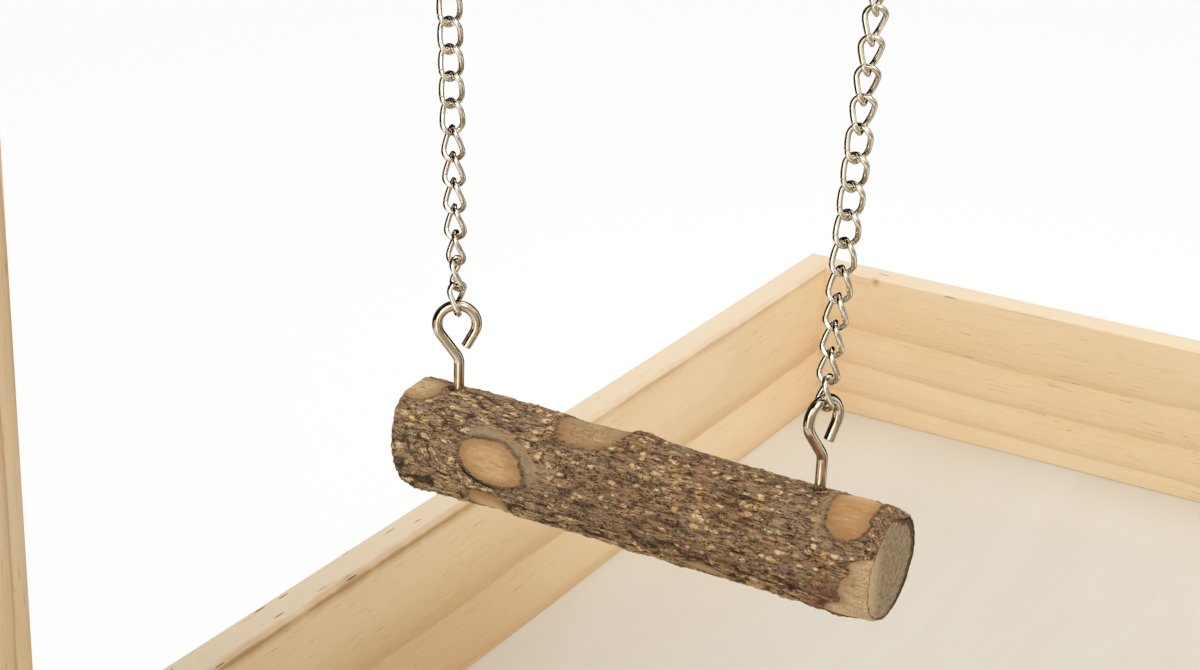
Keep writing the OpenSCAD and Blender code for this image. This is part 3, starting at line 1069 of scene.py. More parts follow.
@dataclass
class Branch:
    """A length of branch along X with its bark, knots, bare places and sawn ends.

    Seats are the screw eyes' places, along the branch and in degrees round it. Peel gives, for
    degrees round the branch, how far along it the bark ends. Far is a distance off every edge.
    A fade gives the degrees at which a side of the branch starts and is in full.
    """

    name: str
    body: str
    centre: Place
    length: float
    diameter: float
    scars: Sequence[Scar]
    seats: Sequence[Span]
    peel: Sequence[Span] = ()
    slant_deg: float = 0.0
    bevel: float = 0.0
    bevel_l: float = 2.2
    bevel_deg: float = 78.0
    bevel_fade: Span = (62.0, 40.0)
    under_deg: float = -62.0
    under_fade: Span = (62.0, 26.0)
    plain_tone: float = 0.3
    rings: int = 300
    sides: int = 264
    end_rings: int = 18
    lip_rings: int = 4
    saw_edge: float = 1.0
    far: float = 9.0
    seed: int = 7
    crease_deg: float = 60.0

    @property
    def half(self) -> float:
        """Half of the length."""
        return self.length / 2

    @property
    def mean(self) -> float:
        """Mean radius over the bark."""
        return self.diameter / 2

    def stations(self) -> np.ndarray:
        """Places of the rings along the branch, closer at the sawn edges.

        Returns:
            Distances from the branch's middle.
        """
        lip = np.linspace(0, self.saw_edge, self.lip_rings, endpoint=False)
        body = np.linspace(-self.half + self.saw_edge, self.half - self.saw_edge, self.rings)
        return np.concatenate([lip - self.half, body, self.half - lip[::-1]])

    def texture(self, x: np.ndarray, a: np.ndarray) -> Texture:
        """Reads the weather's tables over the grid.

        A groove runs where a ridge's height h passes its middle: (1 - |2 h - 1|)^4.

        Args:
            x, a: Places of the grid, along and in degrees round the branch.

        Returns:
            The bark's texture.
        """
        weather = BarkWeather(self.seed, 2 * math.pi * self.mean)
        around = np.radians(a) * self.mean
        warp = (weather.smooth(x, around, (9.0, 6.0), 1) - 0.5) * 3.0
        ridges = [weather.smooth(x, around + warp, cell, layer)
                  for cell, layer in (((6.5, 1.5), 2), ((3.0, 0.9), 3))]
        lump, crust, grit, wobble = (weather.smooth(x, around, cell, layer) - 0.5 for cell, layer in (
            ((10.0, 6.5), 4), ((1.7, 1.15), 5), ((0.9, 0.75), 6), ((2.6, 2.2), 9)))
        swept = around + warp * 0.4
        pore = np.maximum(weather.pores(x, swept, (3.3, 2.15), (1.05, 0.55), 0.55, 7),
                          weather.pores(x, swept, (4.9, 3.3), (0.8, 0.7), 0.4, 8))
        groove, fine_groove = ((1 - np.abs(2 * ridge - 1)) ** 4 for ridge in ridges)
        return Texture(groove, fine_groove, lump, crust, grit, pore, wobble * 1.1)

    def wounds(self, x: np.ndarray, a: np.ndarray, wobble: np.ndarray) -> Wounds:
        """Gathers the scars and the peeled strip.

        A scar cuts the bark at (R + rise + dish along^2) / cos(turn). Its collar is a bell about
        it, and callus and crevice are bands along its edge, towards its arrow and away from it.

        Args:
            x, a: Places of the grid, along and in degrees round the branch.
            wobble: Noise that frays the edges.

        Returns:
            The bare places.
        """
        starts = (-self.far, self.plain_tone, 0.0, 0.0, 0.0, self.far * self.mean)
        w = Wounds(*(np.full_like(x, start) for start in starts))
        for scar in self.scars:
            turn = degrees_off(a, scar.angle)
            depth, bearing = scar.depth(x, turn, self.mean)
            along = (x - scar.x) / scar.swell_l
            across = np.radians(turn) * self.mean / (0.8 * scar.swell_l)
            w.collars = np.maximum(w.collars, scar.collar * np.exp(-along ** 2 - across ** 2))
            reach = np.radians(np.clip(turn, -scar.reach_deg, scar.reach_deg))
            cut = (self.mean + scar.rise + scar.dish * along ** 2) / np.cos(reach)
            ragged = depth + wobble * 0.5
            on_flat = (ragged > 0) & (np.abs(turn) < scar.reach_deg)
            w.flat = np.where(on_flat, np.minimum(w.flat, cut), w.flat)
            w.tone = np.where(ragged > w.inside, scar.wood.value, w.tone)
            w.inside = np.maximum(w.inside, ragged)
            aim = np.cos(np.radians(bearing - scar.arrow)) * 0.5 + 0.5
            band = step(depth, -3.0, -1.2) * step(depth, 0.6, -0.3)
            w.callus = np.maximum(w.callus, scar.callus * band * step(aim, 0.45, 0.85))
            trench = bell(depth, -0.6, 0.4) * step(aim, 0.3, 0.06)
            w.crevice = np.maximum(w.crevice, scar.crevice * trench)
        if self.peel:
            stripped = x - np.interp(degrees_off(a, 0.0), *np.array(self.peel).T) + wobble * 1.6
            w.tone = np.where(stripped > w.inside, Wood.PEELED.value, w.tone)
            w.inside = np.maximum(w.inside, stripped)
        return w

    def waves(self, x: np.ndarray, a: np.ndarray) -> np.ndarray:
        """Slow waves of the radius, as a share of it: a sum of sines of degrees along and round."""
        parts = ((0.022, 2 * a + 1.9 * x), (0.016, 3 * a - 2.6 * x + 40), (0.012, 4.1 * x + 70))
        return sum(share * np.sin(np.radians(degrees)) for share, degrees in parts)

    def shape(self) -> tuple[np.ndarray, dict[str, np.ndarray]]:
        """Works out the bark's radius and marks over the whole grid.

        The radius is R (1 + waves) + collars + relief, cut by the flats, the sawn edges and the
        bevel. The relief is lumps, crust, pores and grooves, and fades out on bare wood.

        Returns:
            The grid of points, and the marks on it.
        """
        angle = np.linspace(360, 0, self.sides, endpoint=False)
        x, a = np.meshgrid(self.stations(), angle, indexing="ij")
        t = self.texture(x, a)
        w = self.wounds(x, a, t.wobble)
        bark = step(w.inside, 0.1, -0.5)
        rough_bark = bark * (1 - 0.75 * w.callus)
        left_end = step(x, -self.length * 0.12, -self.length * 0.35)
        under = step(np.abs(degrees_off(a, self.under_deg)), *self.under_fade)
        worn = np.maximum(under, left_end * 0.25)
        relief = t.lump * 0.5 + (t.crust * 0.32 + t.grit * 0.24) * rough_bark
        relief += np.clip(t.pore + t.grit, 0, 0.6) * 0.26 * rough_bark
        relief -= (t.groove * (0.2 + 0.26 * worn) + t.fine_groove * (0.12 + 0.14 * worn)) * rough_bark
        relief -= w.crevice * 1.1 + (1 - bark) * 0.45
        # seat: where each eye's foot is darkened, for crumbled bark and painted shade round the wire
        seat = np.zeros_like(x)
        for seat_x, seat_turn in self.seats:
            away = np.hypot(x - seat_x, np.radians(degrees_off(a, seat_turn)) * self.mean)
            seat = np.maximum(seat, step(away, 1.9, 1.3))
            relief += step(away, 3.4, 2.0) * step(away, 1.0, 1.7) * (0.3 + t.crust * 0.9)
        radius = np.minimum(self.mean * (1 + self.waves(x, a)) + w.collars + relief, w.flat)
        to_end, to_right = self.half - np.abs(x), self.half - x
        brow = step(np.abs(degrees_off(a, self.bevel_deg)), *self.bevel_fade) * np.sign(self.bevel)
        radius = radius - self.saw_edge / 2 * np.clip(1 - to_end / self.saw_edge, 0, 1) ** 2
        radius = radius - brow * self.bevel * np.clip(1 - to_right / self.bevel_l, 0, 1)
        rim_lines = bell(to_right, 2.4, 0.3) * 0.75 + bell(to_right, 1.1, 0.25) * 0.6
        crevice = np.maximum(w.crevice, brow * rim_lines)
        fissure = np.maximum(t.groove, 0.8 * t.fine_groove) * (0.6 + 0.4 * worn) * rough_bark
        pore = t.pore * rough_bark - (1 - rough_bark)

        points, marks = self.close_ends(x, a, radius)
        rows = slice(self.end_rings, -self.end_rings)
        marks["bark"][rows] = np.stack([pore, fissure, w.callus], -1)
        marks["cut"][rows] = np.stack([w.inside, w.tone, crevice], -1)
        marks["end"][rows] = np.stack([np.zeros_like(x), np.full_like(x, self.far), seat], -1)
        return points, marks

    def close_ends(self, x: np.ndarray, a: np.ndarray,
                   radius: np.ndarray) -> tuple[np.ndarray, dict[str, np.ndarray]]:
        """Adds the sawn faces as rings that shrink from the rim to the middle.

        A ring of share s has s times the rim's radius. The saw leaves waves of a few hundredths.
        Near a slanted end all rings lean: x - lean r sin(angle).

        Args:
            x, a: Places of the bark's grid.
            radius: Its radius.

        Returns:
            The grid of points with both ends, and marks of its shape that hold the sawn faces.
        """
        def saw(r: np.ndarray, turn: np.ndarray) -> np.ndarray:
            """Saw marks: waves across the face, bent by a wave of the radius."""
            return 0.06 * np.sin(2.2 * r * np.cos(np.radians(turn + 25)) + 0.6 * np.sin(r))

        share = (1 - np.linspace(0, 1, self.end_rings + 2)[1:-1] ** 1.4)[::-1, None]
        left_r, right_r = share * radius[:1], share[::-1] * radius[-1:]
        left_a, right_a = np.broadcast_to(a[:1], left_r.shape), np.broadcast_to(a[-1:], right_r.shape)
        left_x = -self.half + saw(left_r, left_a) * (1 - share ** 6)
        right_x = self.half - np.abs(saw(right_r, right_a)) * (1 - share[::-1] ** 6)
        x = np.concatenate([left_x, x, right_x])
        turn = np.radians(np.concatenate([left_a, a, right_a]))
        r = np.concatenate([left_r, radius, right_r])
        lean = math.tan(math.radians(self.slant_deg)) * np.maximum(0, 1 - (x + self.half) / self.diameter)
        points = np.stack([x - lean * r * np.sin(turn), -r * np.cos(turn), r * np.sin(turn)], -1)
        marks = {name: np.zeros(points.shape) for name in ("bark", "cut", "end")}
        for name, value in (("bark", -1.0), ("cut", -self.far), ("end", 1.0)):
            marks[name][..., 0] = value
        marks["end"][..., 1] = np.concatenate([radius[:1] - left_r, np.full(radius.shape, self.far),
                                               radius[-1:] - right_r])
        return points + np.array(self.centre), marks

    def build(self, finish: Bark) -> bpy.types.Object:
        """Builds and dresses the branch.

        Args:
            finish: Its bark.

        Returns:
            The object.
        """
        points, marks = self.shape()
        skin = Skin().tube(points, marks=marks)
        return skin.piece(f"{self.name}_bark", finish.material(), self.body, "bark", self.name,
                          self.crease_deg)


# Chains and screw eyes


@dataclass
class Chain:
    """One curb chain: twisted oval links, each hooked through the next.

    Turns give the links' turn about the chain's line, in degrees, by their number from the perch.
    """

    side: Side
    hook: Place
    turns: Sequence[Span]
    lean_deg: float = 2.75
    links: int = 22
    wire_d: float = 1.2
    half_w: float = 2.275
    half_l: float = 3.74
    pitch: float = 6.1
    first: float = 1.59
    twist_deg: float = 45.0
    stations: int = 76
    sides: int = 14
    seam: float = 0.5
    seam_steps: Sequence[float] = (-0.012, -0.005, -0.002, 0.0, 0.002, 0.005, 0.012)
    seam_w: float = 0.0028
    seam_depth: float = 0.16
    crease_deg: float = 50.0

    def link(self) -> np.ndarray:
        """One link standing on its end round Z.

        The middle line is a stadium: half circles of the half width at both ends of two straight
        sides. Its plane turns by -twist z / half length as it rises. The wire thins at the butt
        where its ends meet.

        Returns:
            The grid of points, (stations, sides, 3).
        """
        even = (np.arange(self.stations) + 0.5) / self.stations
        t = np.sort(np.concatenate([even, self.seam + np.array(self.seam_steps)]))
        corner = self.half_l - self.half_w
        straight, arc = 2 * corner, math.pi * self.half_w
        s = t * 2 * (straight + arc)
        top = np.clip(s, 0, arc) / self.half_w
        foot = np.clip(s - arc - straight, 0, arc) / self.half_w
        turn = np.where(s < arc + straight, top, np.pi + foot)
        going_down = corner - np.clip(s - arc, 0, straight)
        rise = going_down + np.clip(s - 2 * arc - straight, 0, straight)
        across, z = self.half_w * np.cos(turn), rise + self.half_w * np.sin(turn)
        plane = np.radians(-self.twist_deg * z / self.half_l)

        def swung(r: np.ndarray, up: np.ndarray) -> np.ndarray:
            """Places or directions in the link's twisted plane."""
            return np.stack([r * np.cos(plane), r * np.sin(plane), up], -1)

        radius = self.wire_d / 2 * (1 - self.seam_depth * bell(t, self.seam, self.seam_w))
        return wire_sweep(swung(across, z), swung(np.cos(turn), np.sin(turn)), radius, self.sides, True)

    def run(self, first: int, last: int) -> Skin:
        """Some links in their places: turned about the chain's line, raised along it and leant.

        Args:
            first, last: Numbers of the links, counted up from the perch.

        Returns:
            Their skin.
        """
        skin = Skin()
        link = self.link()
        for number in range(first, last + 1):
            spun = turned(link, float(np.interp(number, *np.array(self.turns).T)), Axis.Z)
            raised = spun + np.array([0, 0, self.first + number * self.pitch])
            leant = turned(raised, self.side.value * self.lean_deg, Axis.Y)
            skin.tube(leant + np.array(self.hook), closed=True)
        return skin

    def build(self, finish: bpy.types.Material) -> None:
        """Builds and dresses the end link, the run and the top link.

        Args:
            finish: The plating.
        """
        word, last = self.side.word, self.links - 1
        for node, body, span in ((f"eye_link_{word}", f"{word}_end", (0, 0)),
                                 (f"chain_{word}", f"{word}_chain", (1, last - 1)),
                                 (f"hanger_link_{word}", f"{word}_hanger", (last, last))):
            self.run(*span).piece(f"{node}_wire", finish, body, "nickel", node, self.crease_deg)


@dataclass
class ScrewEye:
    """A bent-wire screw eye with an open loop, by its hook point at the loop's crown."""

    node: str
    body: str
    hook: Place
    turn_deg: float = 0.0
    flip_deg: float = 0.0
    wire_d: float = 2.4
    loop_r: float = 4.5
    neck_deg: float = 36.0
    bend_r: float = 4.2
    offset: float = 0.65
    shank_out: float = 6.6
    shank_in: float = 11.0
    open_deg: float = 28.0
    tip_l: float = 3.9
    edge_l: float = 0.12
    toe_share: float = 0.22
    edge_share: float = 0.86
    shank_points: int = 14
    bend_points: int = 11
    neck_points: int = 6
    loop_points: int = 64
    tip_points: int = 7
    sides: int = 28
    crease_deg: float = 35.0

    def line(self) -> np.ndarray:
        """Middle line of the wire in the eye's plane, from the shank's foot to the open tip.

        Straight shank, bend to the neck's slope, straight neck, loop over the crown, straight tip.

        Returns:
            Points, (n, 2): across and up.
        """
        def arc(middle: Span, r: float, start: float, end: float, points: int, whole: bool) -> np.ndarray:
            """Middle plus r (cos t, sin t), with its last point where it is whole."""
            t = np.linspace(start, end, points, endpoint=whole)
            return np.array(middle) + r * np.stack([np.cos(t), np.sin(t)], -1)

        neck, gap = math.radians(self.neck_deg), math.radians(self.open_deg)
        tangent = np.array([-self.loop_r * math.cos(neck), -self.loop_r * (1 + math.sin(neck))])
        bend_x = self.offset - self.bend_r * (1 - math.cos(neck))
        neck_l = (bend_x - tangent[0]) / math.sin(neck)
        bend_z = tangent[1] - neck_l * math.cos(neck) - self.bend_r * math.sin(neck)
        foot = bend_z - self.shank_out - self.shank_in
        shank = np.stack([np.full(self.shank_points, self.offset),
                          np.linspace(foot, bend_z, self.shank_points, endpoint=False)], -1)
        bend = arc((self.offset - self.bend_r, bend_z), self.bend_r, 0, neck, self.bend_points, False)
        straight = np.linspace(bend[-1], tangent, self.neck_points + 2)[1:-1]
        loop = arc((0, -self.loop_r), self.loop_r, math.pi + neck, -gap, self.loop_points, True)
        reach = np.linspace(0, self.tip_l, self.tip_points + 1)[1:, None]
        tip = loop[-1] - reach * np.array([math.sin(gap), math.cos(gap)])
        return np.concatenate([shank, bend, straight, loop, tip])

    def build(self, finish: bpy.types.Material) -> None:
        """Builds and dresses the eye; its cut ends keep a small broken edge.

        Args:
            finish: The plating.
        """
        flat = self.line()
        heel = flat[:1] + [[0, self.edge_l]]
        toe = flat[-1:] + (flat[-2:-1] - flat[-1:]) * self.toe_share
        flat = np.concatenate([flat[:1], heel, flat[1:-1], toe, flat[-1:]])
        line = np.stack([flat[:, 0], np.zeros(len(flat)), flat[:, 1]], -1)
        radius = np.full(len(flat), self.wire_d / 2)
        radius[[0, -1]] *= self.edge_share
        out = np.tile([0.0, 1.0, 0.0], (len(flat), 1))
        grid = wire_sweep(line, out, radius, self.sides, False)
        placed = turned(turned(grid, self.flip_deg, Axis.X), self.turn_deg, Axis.Z) + np.array(self.hook)
        skin = Skin().tube(placed)
        skin.piece(f"{self.node}_wire", finish, self.body, "nickel", self.node, self.crease_deg)


# Tray, frame and fasteners


@dataclass
class Fasteners:
    """Screws or nails of one node, each along the outward X of its side."""

    node: str
    places: Sequence[tuple[Side, Place]]
    shank_l: float
    shank_d: float = 3.5
    head: Head = Head.DOMED
    head_d: float = 7.0
    head_h: float = 2.4
    brim_h: float = 0.04
    flush_edge: float = 0.1
    flush_dish: float = 0.12
    point_l: float = 2.5
    point_share: float = 0.2
    first_turn: float = 0.4
    next_turn: float = 1.1
    sides: int = 72
    rings: int = 26
    crease_deg: float = 35.0

    def one(self, turn: float) -> np.ndarray:
        """One fastener along Z with the head's seat at 0.

        A lathe profile from the shank's foot to the head's crown. A domed crown is a cap of a
        sphere with the driver's cross sunk in it: depth times the larger of two crossed bars.

        Args:
            turn: Turn of the cross, in radians.

        Returns:
            The grid of points, (rings, sides, 3).
        """
        edge, core, foot = self.head_d / 2, self.shank_d / 2, -self.shank_l
        share = np.linspace(1, 0.02, self.rings)
        if self.head is Head.DOMED:
            dome_r = (edge ** 2 + self.head_h ** 2) / (2 * self.head_h)
            crown = np.sqrt(dome_r ** 2 - (share * edge * 0.999) ** 2) + self.head_h - dome_r
            under, brim = 0.0, self.brim_h
        else:
            crown = -self.flush_dish * (1 - share ** 4)
            under, brim = -self.head_h, -self.flush_edge
        profile_r = np.concatenate([[core * self.point_share, core, core, edge, edge], share * edge])
        profile_z = np.concatenate([[foot, foot + self.point_l, under, under, brim], crown])
        angle = np.linspace(0, 2 * np.pi, self.sides, endpoint=False)
        r, t = np.meshgrid(profile_r, angle, indexing="ij")
        z = np.broadcast_to(profile_z[:, None], r.shape).copy()
        if self.head is Head.DOMED:
            z[-self.rings:] -= self.cross(r, t - turn)[-self.rings:]
        return np.stack([r * np.cos(t), r * np.sin(t), z], -1)

    def cross(self, r: np.ndarray, t: np.ndarray) -> np.ndarray:
        """Depth of the driver's cross.

        Args:
            r, t: Radius and angle of each place.

        Returns:
            How far each place is sunk.
        """
        edge = self.head_d / 2
        u, v = np.abs(r * np.cos(t)), np.abs(r * np.sin(t))
        bars = [step(along, edge * 0.62, edge * 0.42) * step(across, edge * 0.2, edge * 0.1)
                for along, across in ((u, v), (v, u))]
        return np.maximum(*bars) * self.head_h * 0.6

    def build(self, finish: bpy.types.Material) -> None:
        """Builds and dresses the whole set, with each cross at its own turn.

        Args:
            finish: The plating.
        """
        skin = Skin()
        for number, (side, place) in enumerate(self.places):
            grid = self.one(self.first_turn + self.next_turn * number)
            skin.tube(turned(grid, 90 * side.value, Axis.Y) + np.array(place))
        skin.piece(f"{self.node}_heads", finish, "stand", "zinc", self.node, self.crease_deg)


@dataclass
class Boards:
    """The tray's walls and floor and the uprights, dressed on their CAD solids."""

    finishes: Mapping[str, Union[Pine, Ply]]

    def dress(self, nodes: Mapping[str, bpy.types.Object]) -> None:
        """Gives every board its own cut of the log.

        Args:
            nodes: The CAD nodes by name.
        """
        for name, finish in self.finishes.items():
            mesh = nodes[name].data
            mesh.materials.clear()
            mesh.materials.append(finish.material())
            LOG.info("%s: dressed as %s", name, finish.name)


# Studio


@dataclass(frozen=True)
class Lamp:
    """A square soft lamp, with its place and its aim in metres."""

    name: str
    at: Place
    aim: Place
    size: float
    watts: float
    tint: Colour = (1.0, 0.99, 0.97)
    spread_deg: float = 180.0

    def build(self) -> None:
        """Hangs the lamp."""
        data = bpy.data.lights.new(self.name, "AREA")
        data.shape, data.size, data.energy, data.color = "SQUARE", self.size, self.watts, self.tint
        data.spread = math.radians(self.spread_deg)
        lamp = add_object(self.name, data)
        lamp.location = self.at
        lamp.rotation_mode = "QUATERNION"
        lamp.rotation_quaternion = (Vector(self.aim) - Vector(self.at)).to_track_quat("-Z", "Y")


@dataclass(frozen=True)
class Card:
    """A card bent round the swing that only gloss shows, for the streaks in the plating.

    It spans degrees round the swing, from the camera to the right, and degrees above level. In
    its tone, 1 is white.
    """

    name: str
    bearings: Span
    climbs: Span
    tone: Colour


@dataclass
class Studio:
    """Camera, soft light, white surroundings and a pale floor, with lengths in metres.

    The camera's place is in millimetres and its turns are in degrees.
    """

    eye: Place = (222.2, -620.7, 441.2)
    yaw: float = 29.45
    pitch: float = 21.90
    roll: float = 2.38
    lens: float = 69.0
    sensor: float = 36.0
    clip: Span = (0.02, 50.0)
    ambient: float = 0.62
    swing: Place = (0.0, -0.212, 0.3)
    card_reach: float = 0.55
    card_points: int = 9
    floor_reach: float = 9.0
    floor_z: float = -0.0003
    floor_tone: Colour = (0.92, 0.92, 0.92)
    floor_glow: float = 0.9
    white: Colour = (1.0, 1.0, 1.0)
    black: Colour = (0.01, 0.008, 0.006)
    brown: Colour = (0.2, 0.16, 0.11)
    tan: Colour = (0.56, 0.48, 0.37)
    bright: Colour = (1.9, 1.85, 1.75)

    def camera(self) -> None:
        """Sets up the camera: turned by yaw, tipped down by pitch, then rolled about its own line."""
        yaw, pitch, roll = (math.radians(angle) for angle in (self.yaw, self.pitch, self.roll))
        level = Vector((math.cos(yaw), math.sin(yaw), 0.0))
        forward = Vector((-math.sin(yaw), math.cos(yaw), 0.0))
        ahead = forward * math.cos(pitch) - Vector((0.0, 0.0, math.sin(pitch)))
        above = level.cross(ahead)
        right = level * math.cos(roll) + above * math.sin(roll)
        up = above * math.cos(roll) - level * math.sin(roll)
        data = bpy.data.cameras.new("camera")
        data.lens, data.sensor_width, data.sensor_fit = self.lens, self.sensor, "HORIZONTAL"
        data.clip_start, data.clip_end = self.clip
        camera = add_object("camera", data)
        turn = Matrix((right, up, -ahead)).transposed().to_4x4()
        camera.matrix_world = Matrix.Translation(Vector(self.eye) * MM) @ turn
        bpy.context.scene.camera = camera

    def prop(self, name: str, points: np.ndarray, paint: Paint) -> bpy.types.Object:
        """Puts up a sheet that belongs to the studio.

        Args:
            name: Name of the sheet.
            points: A grid of places in metres, (rows, columns, 3).
            paint: Its material.

        Returns:
            The object.
        """
        rows, columns = points.shape[:2]
        index = np.arange(rows * columns).reshape(rows, columns)
        quads = np.stack([index[:-1, :-1], index[1:, :-1], index[1:, 1:], index[:-1, 1:]], -1)
        mesh = bpy.data.meshes.new(name)
        mesh.from_pydata(points.reshape(-1, 3).tolist(), [], quads.reshape(-1, 4).tolist())
        mesh.materials.append(paint.material)
        prop = add_object(name, mesh)
        return prop

    def put_up(self, card: Card) -> None:
        """Bends a card: swing + reach (sin b cos c, -cos b cos c, sin c) for bearing b and climb c.

        Args:
            card: The card.
        """
        level = Vector(self.eye) * MM - Vector(self.swing)
        bearings, climbs = (np.radians(np.linspace(*span, self.card_points))
                            for span in (card.bearings, card.climbs))
        b, c = np.meshgrid(math.atan2(level.x, -level.y) + bearings, climbs, indexing="ij")
        points = np.stack([np.sin(b) * np.cos(c), -np.cos(b) * np.cos(c), np.sin(c)], -1)
        s = Paint(card.name)
        s.show(s.glow(card.tone))
        prop = self.prop(card.name, points * self.card_reach + self.swing, s)
        for rays in ("camera", "diffuse", "shadow", "transmission", "volume_scatter"):
            setattr(prop, f"visible_{rays}", False)

    def seen(self, s: NodeSheet) -> Signal:
        """1 for rays from the camera, from metal or through glass, else 0."""
        camera, glossy, through = (s.node("ShaderNodeLightPath", out=f"Is {ray} Ray")
                                   for ray in ("Camera", "Glossy", "Transmission"))
        return camera.over(glossy).over(through)

    def surroundings(self) -> None:
        """White to look at, softer as light."""
        world = bpy.data.worlds.new("surroundings")
        world.use_nodes = True
        bpy.context.scene.world = world
        s = NodeSheet(world.node_tree, "ShaderNodeOutputWorld")
        strength = self.ambient + (1.0 - self.ambient) * self.seen(s)
        s.show(s.node("ShaderNodeBackground", inputs={"Color": self.white, "Strength": strength}))

    def floor(self) -> None:
        """A pale floor that shows nearly white and keeps the stand's shadow."""
        s = Paint("floor")
        matt = s.node("ShaderNodeBsdfDiffuse", inputs={"Color": self.floor_tone})
        share = self.seen(s) * self.floor_glow
        s.show(s.node("ShaderNodeMixShader", inputs={0: share, 1: matt, 2: s.glow(self.white)}))
        ends = np.array([-self.floor_reach, self.floor_reach])
        x, y = np.meshgrid(ends, ends, indexing="ij")
        self.prop("floor", np.stack([x, y, np.full_like(x, self.floor_z)], -1), s)

    def build(self) -> None:
        """Puts up the whole studio."""
        self.camera()
        self.surroundings()
        self.floor()
        for lamp in (
            Lamp("key", (0.35, 0.55, 1.9), (0.0, 0.05, 0.05), size=1.5, watts=10.4, tint=(1.0, 0.985, 0.96)),
            Lamp("corner", (0.75, -0.4, 1.05), (-0.12, 0.32, 0.03), size=0.5, watts=0.8,
                 tint=(1.0, 0.98, 0.95), spread_deg=45.0),
            Lamp("front", (-0.5, -2.0, 1.1), (0.0, 0.0, 0.1), size=1.0, watts=7.4),
            Lamp("fill", (1.0, -1.6, 1.2), (0.0, -0.1, 0.15), size=1.2, watts=1.5),
        ):
            lamp.build()
        for card in (
            Card("card_back_left", (-172.0, -82.0), (-40.0, 72.0), self.black),
            Card("card_up_left", (-82.0, -44.0), (-14.0, 84.0), self.black),
            Card("card_over_left", (-44.0, 0.0), (46.0, 84.0), self.black),
            Card("card_back", (172.0, 188.0), (14.0, 70.0), self.black),
            Card("card_back_right", (116.0, 172.0), (-40.0, 50.0), self.black),
            Card("card_right", (62.0, 92.0), (-50.0, 10.0), self.brown),
            Card("card_front", (-8.0, 62.0), (-60.0, 8.0), self.tan),
            Card("card_front_left", (-70.0, -40.0), (-60.0, -14.0), self.tan),
            Card("card_shine", (-40.0, -8.0), (-50.0, 40.0), self.bright),
        ):
            self.put_up(card)
        bpy.context.scene.view_settings.view_transform = "Standard"


# The stand


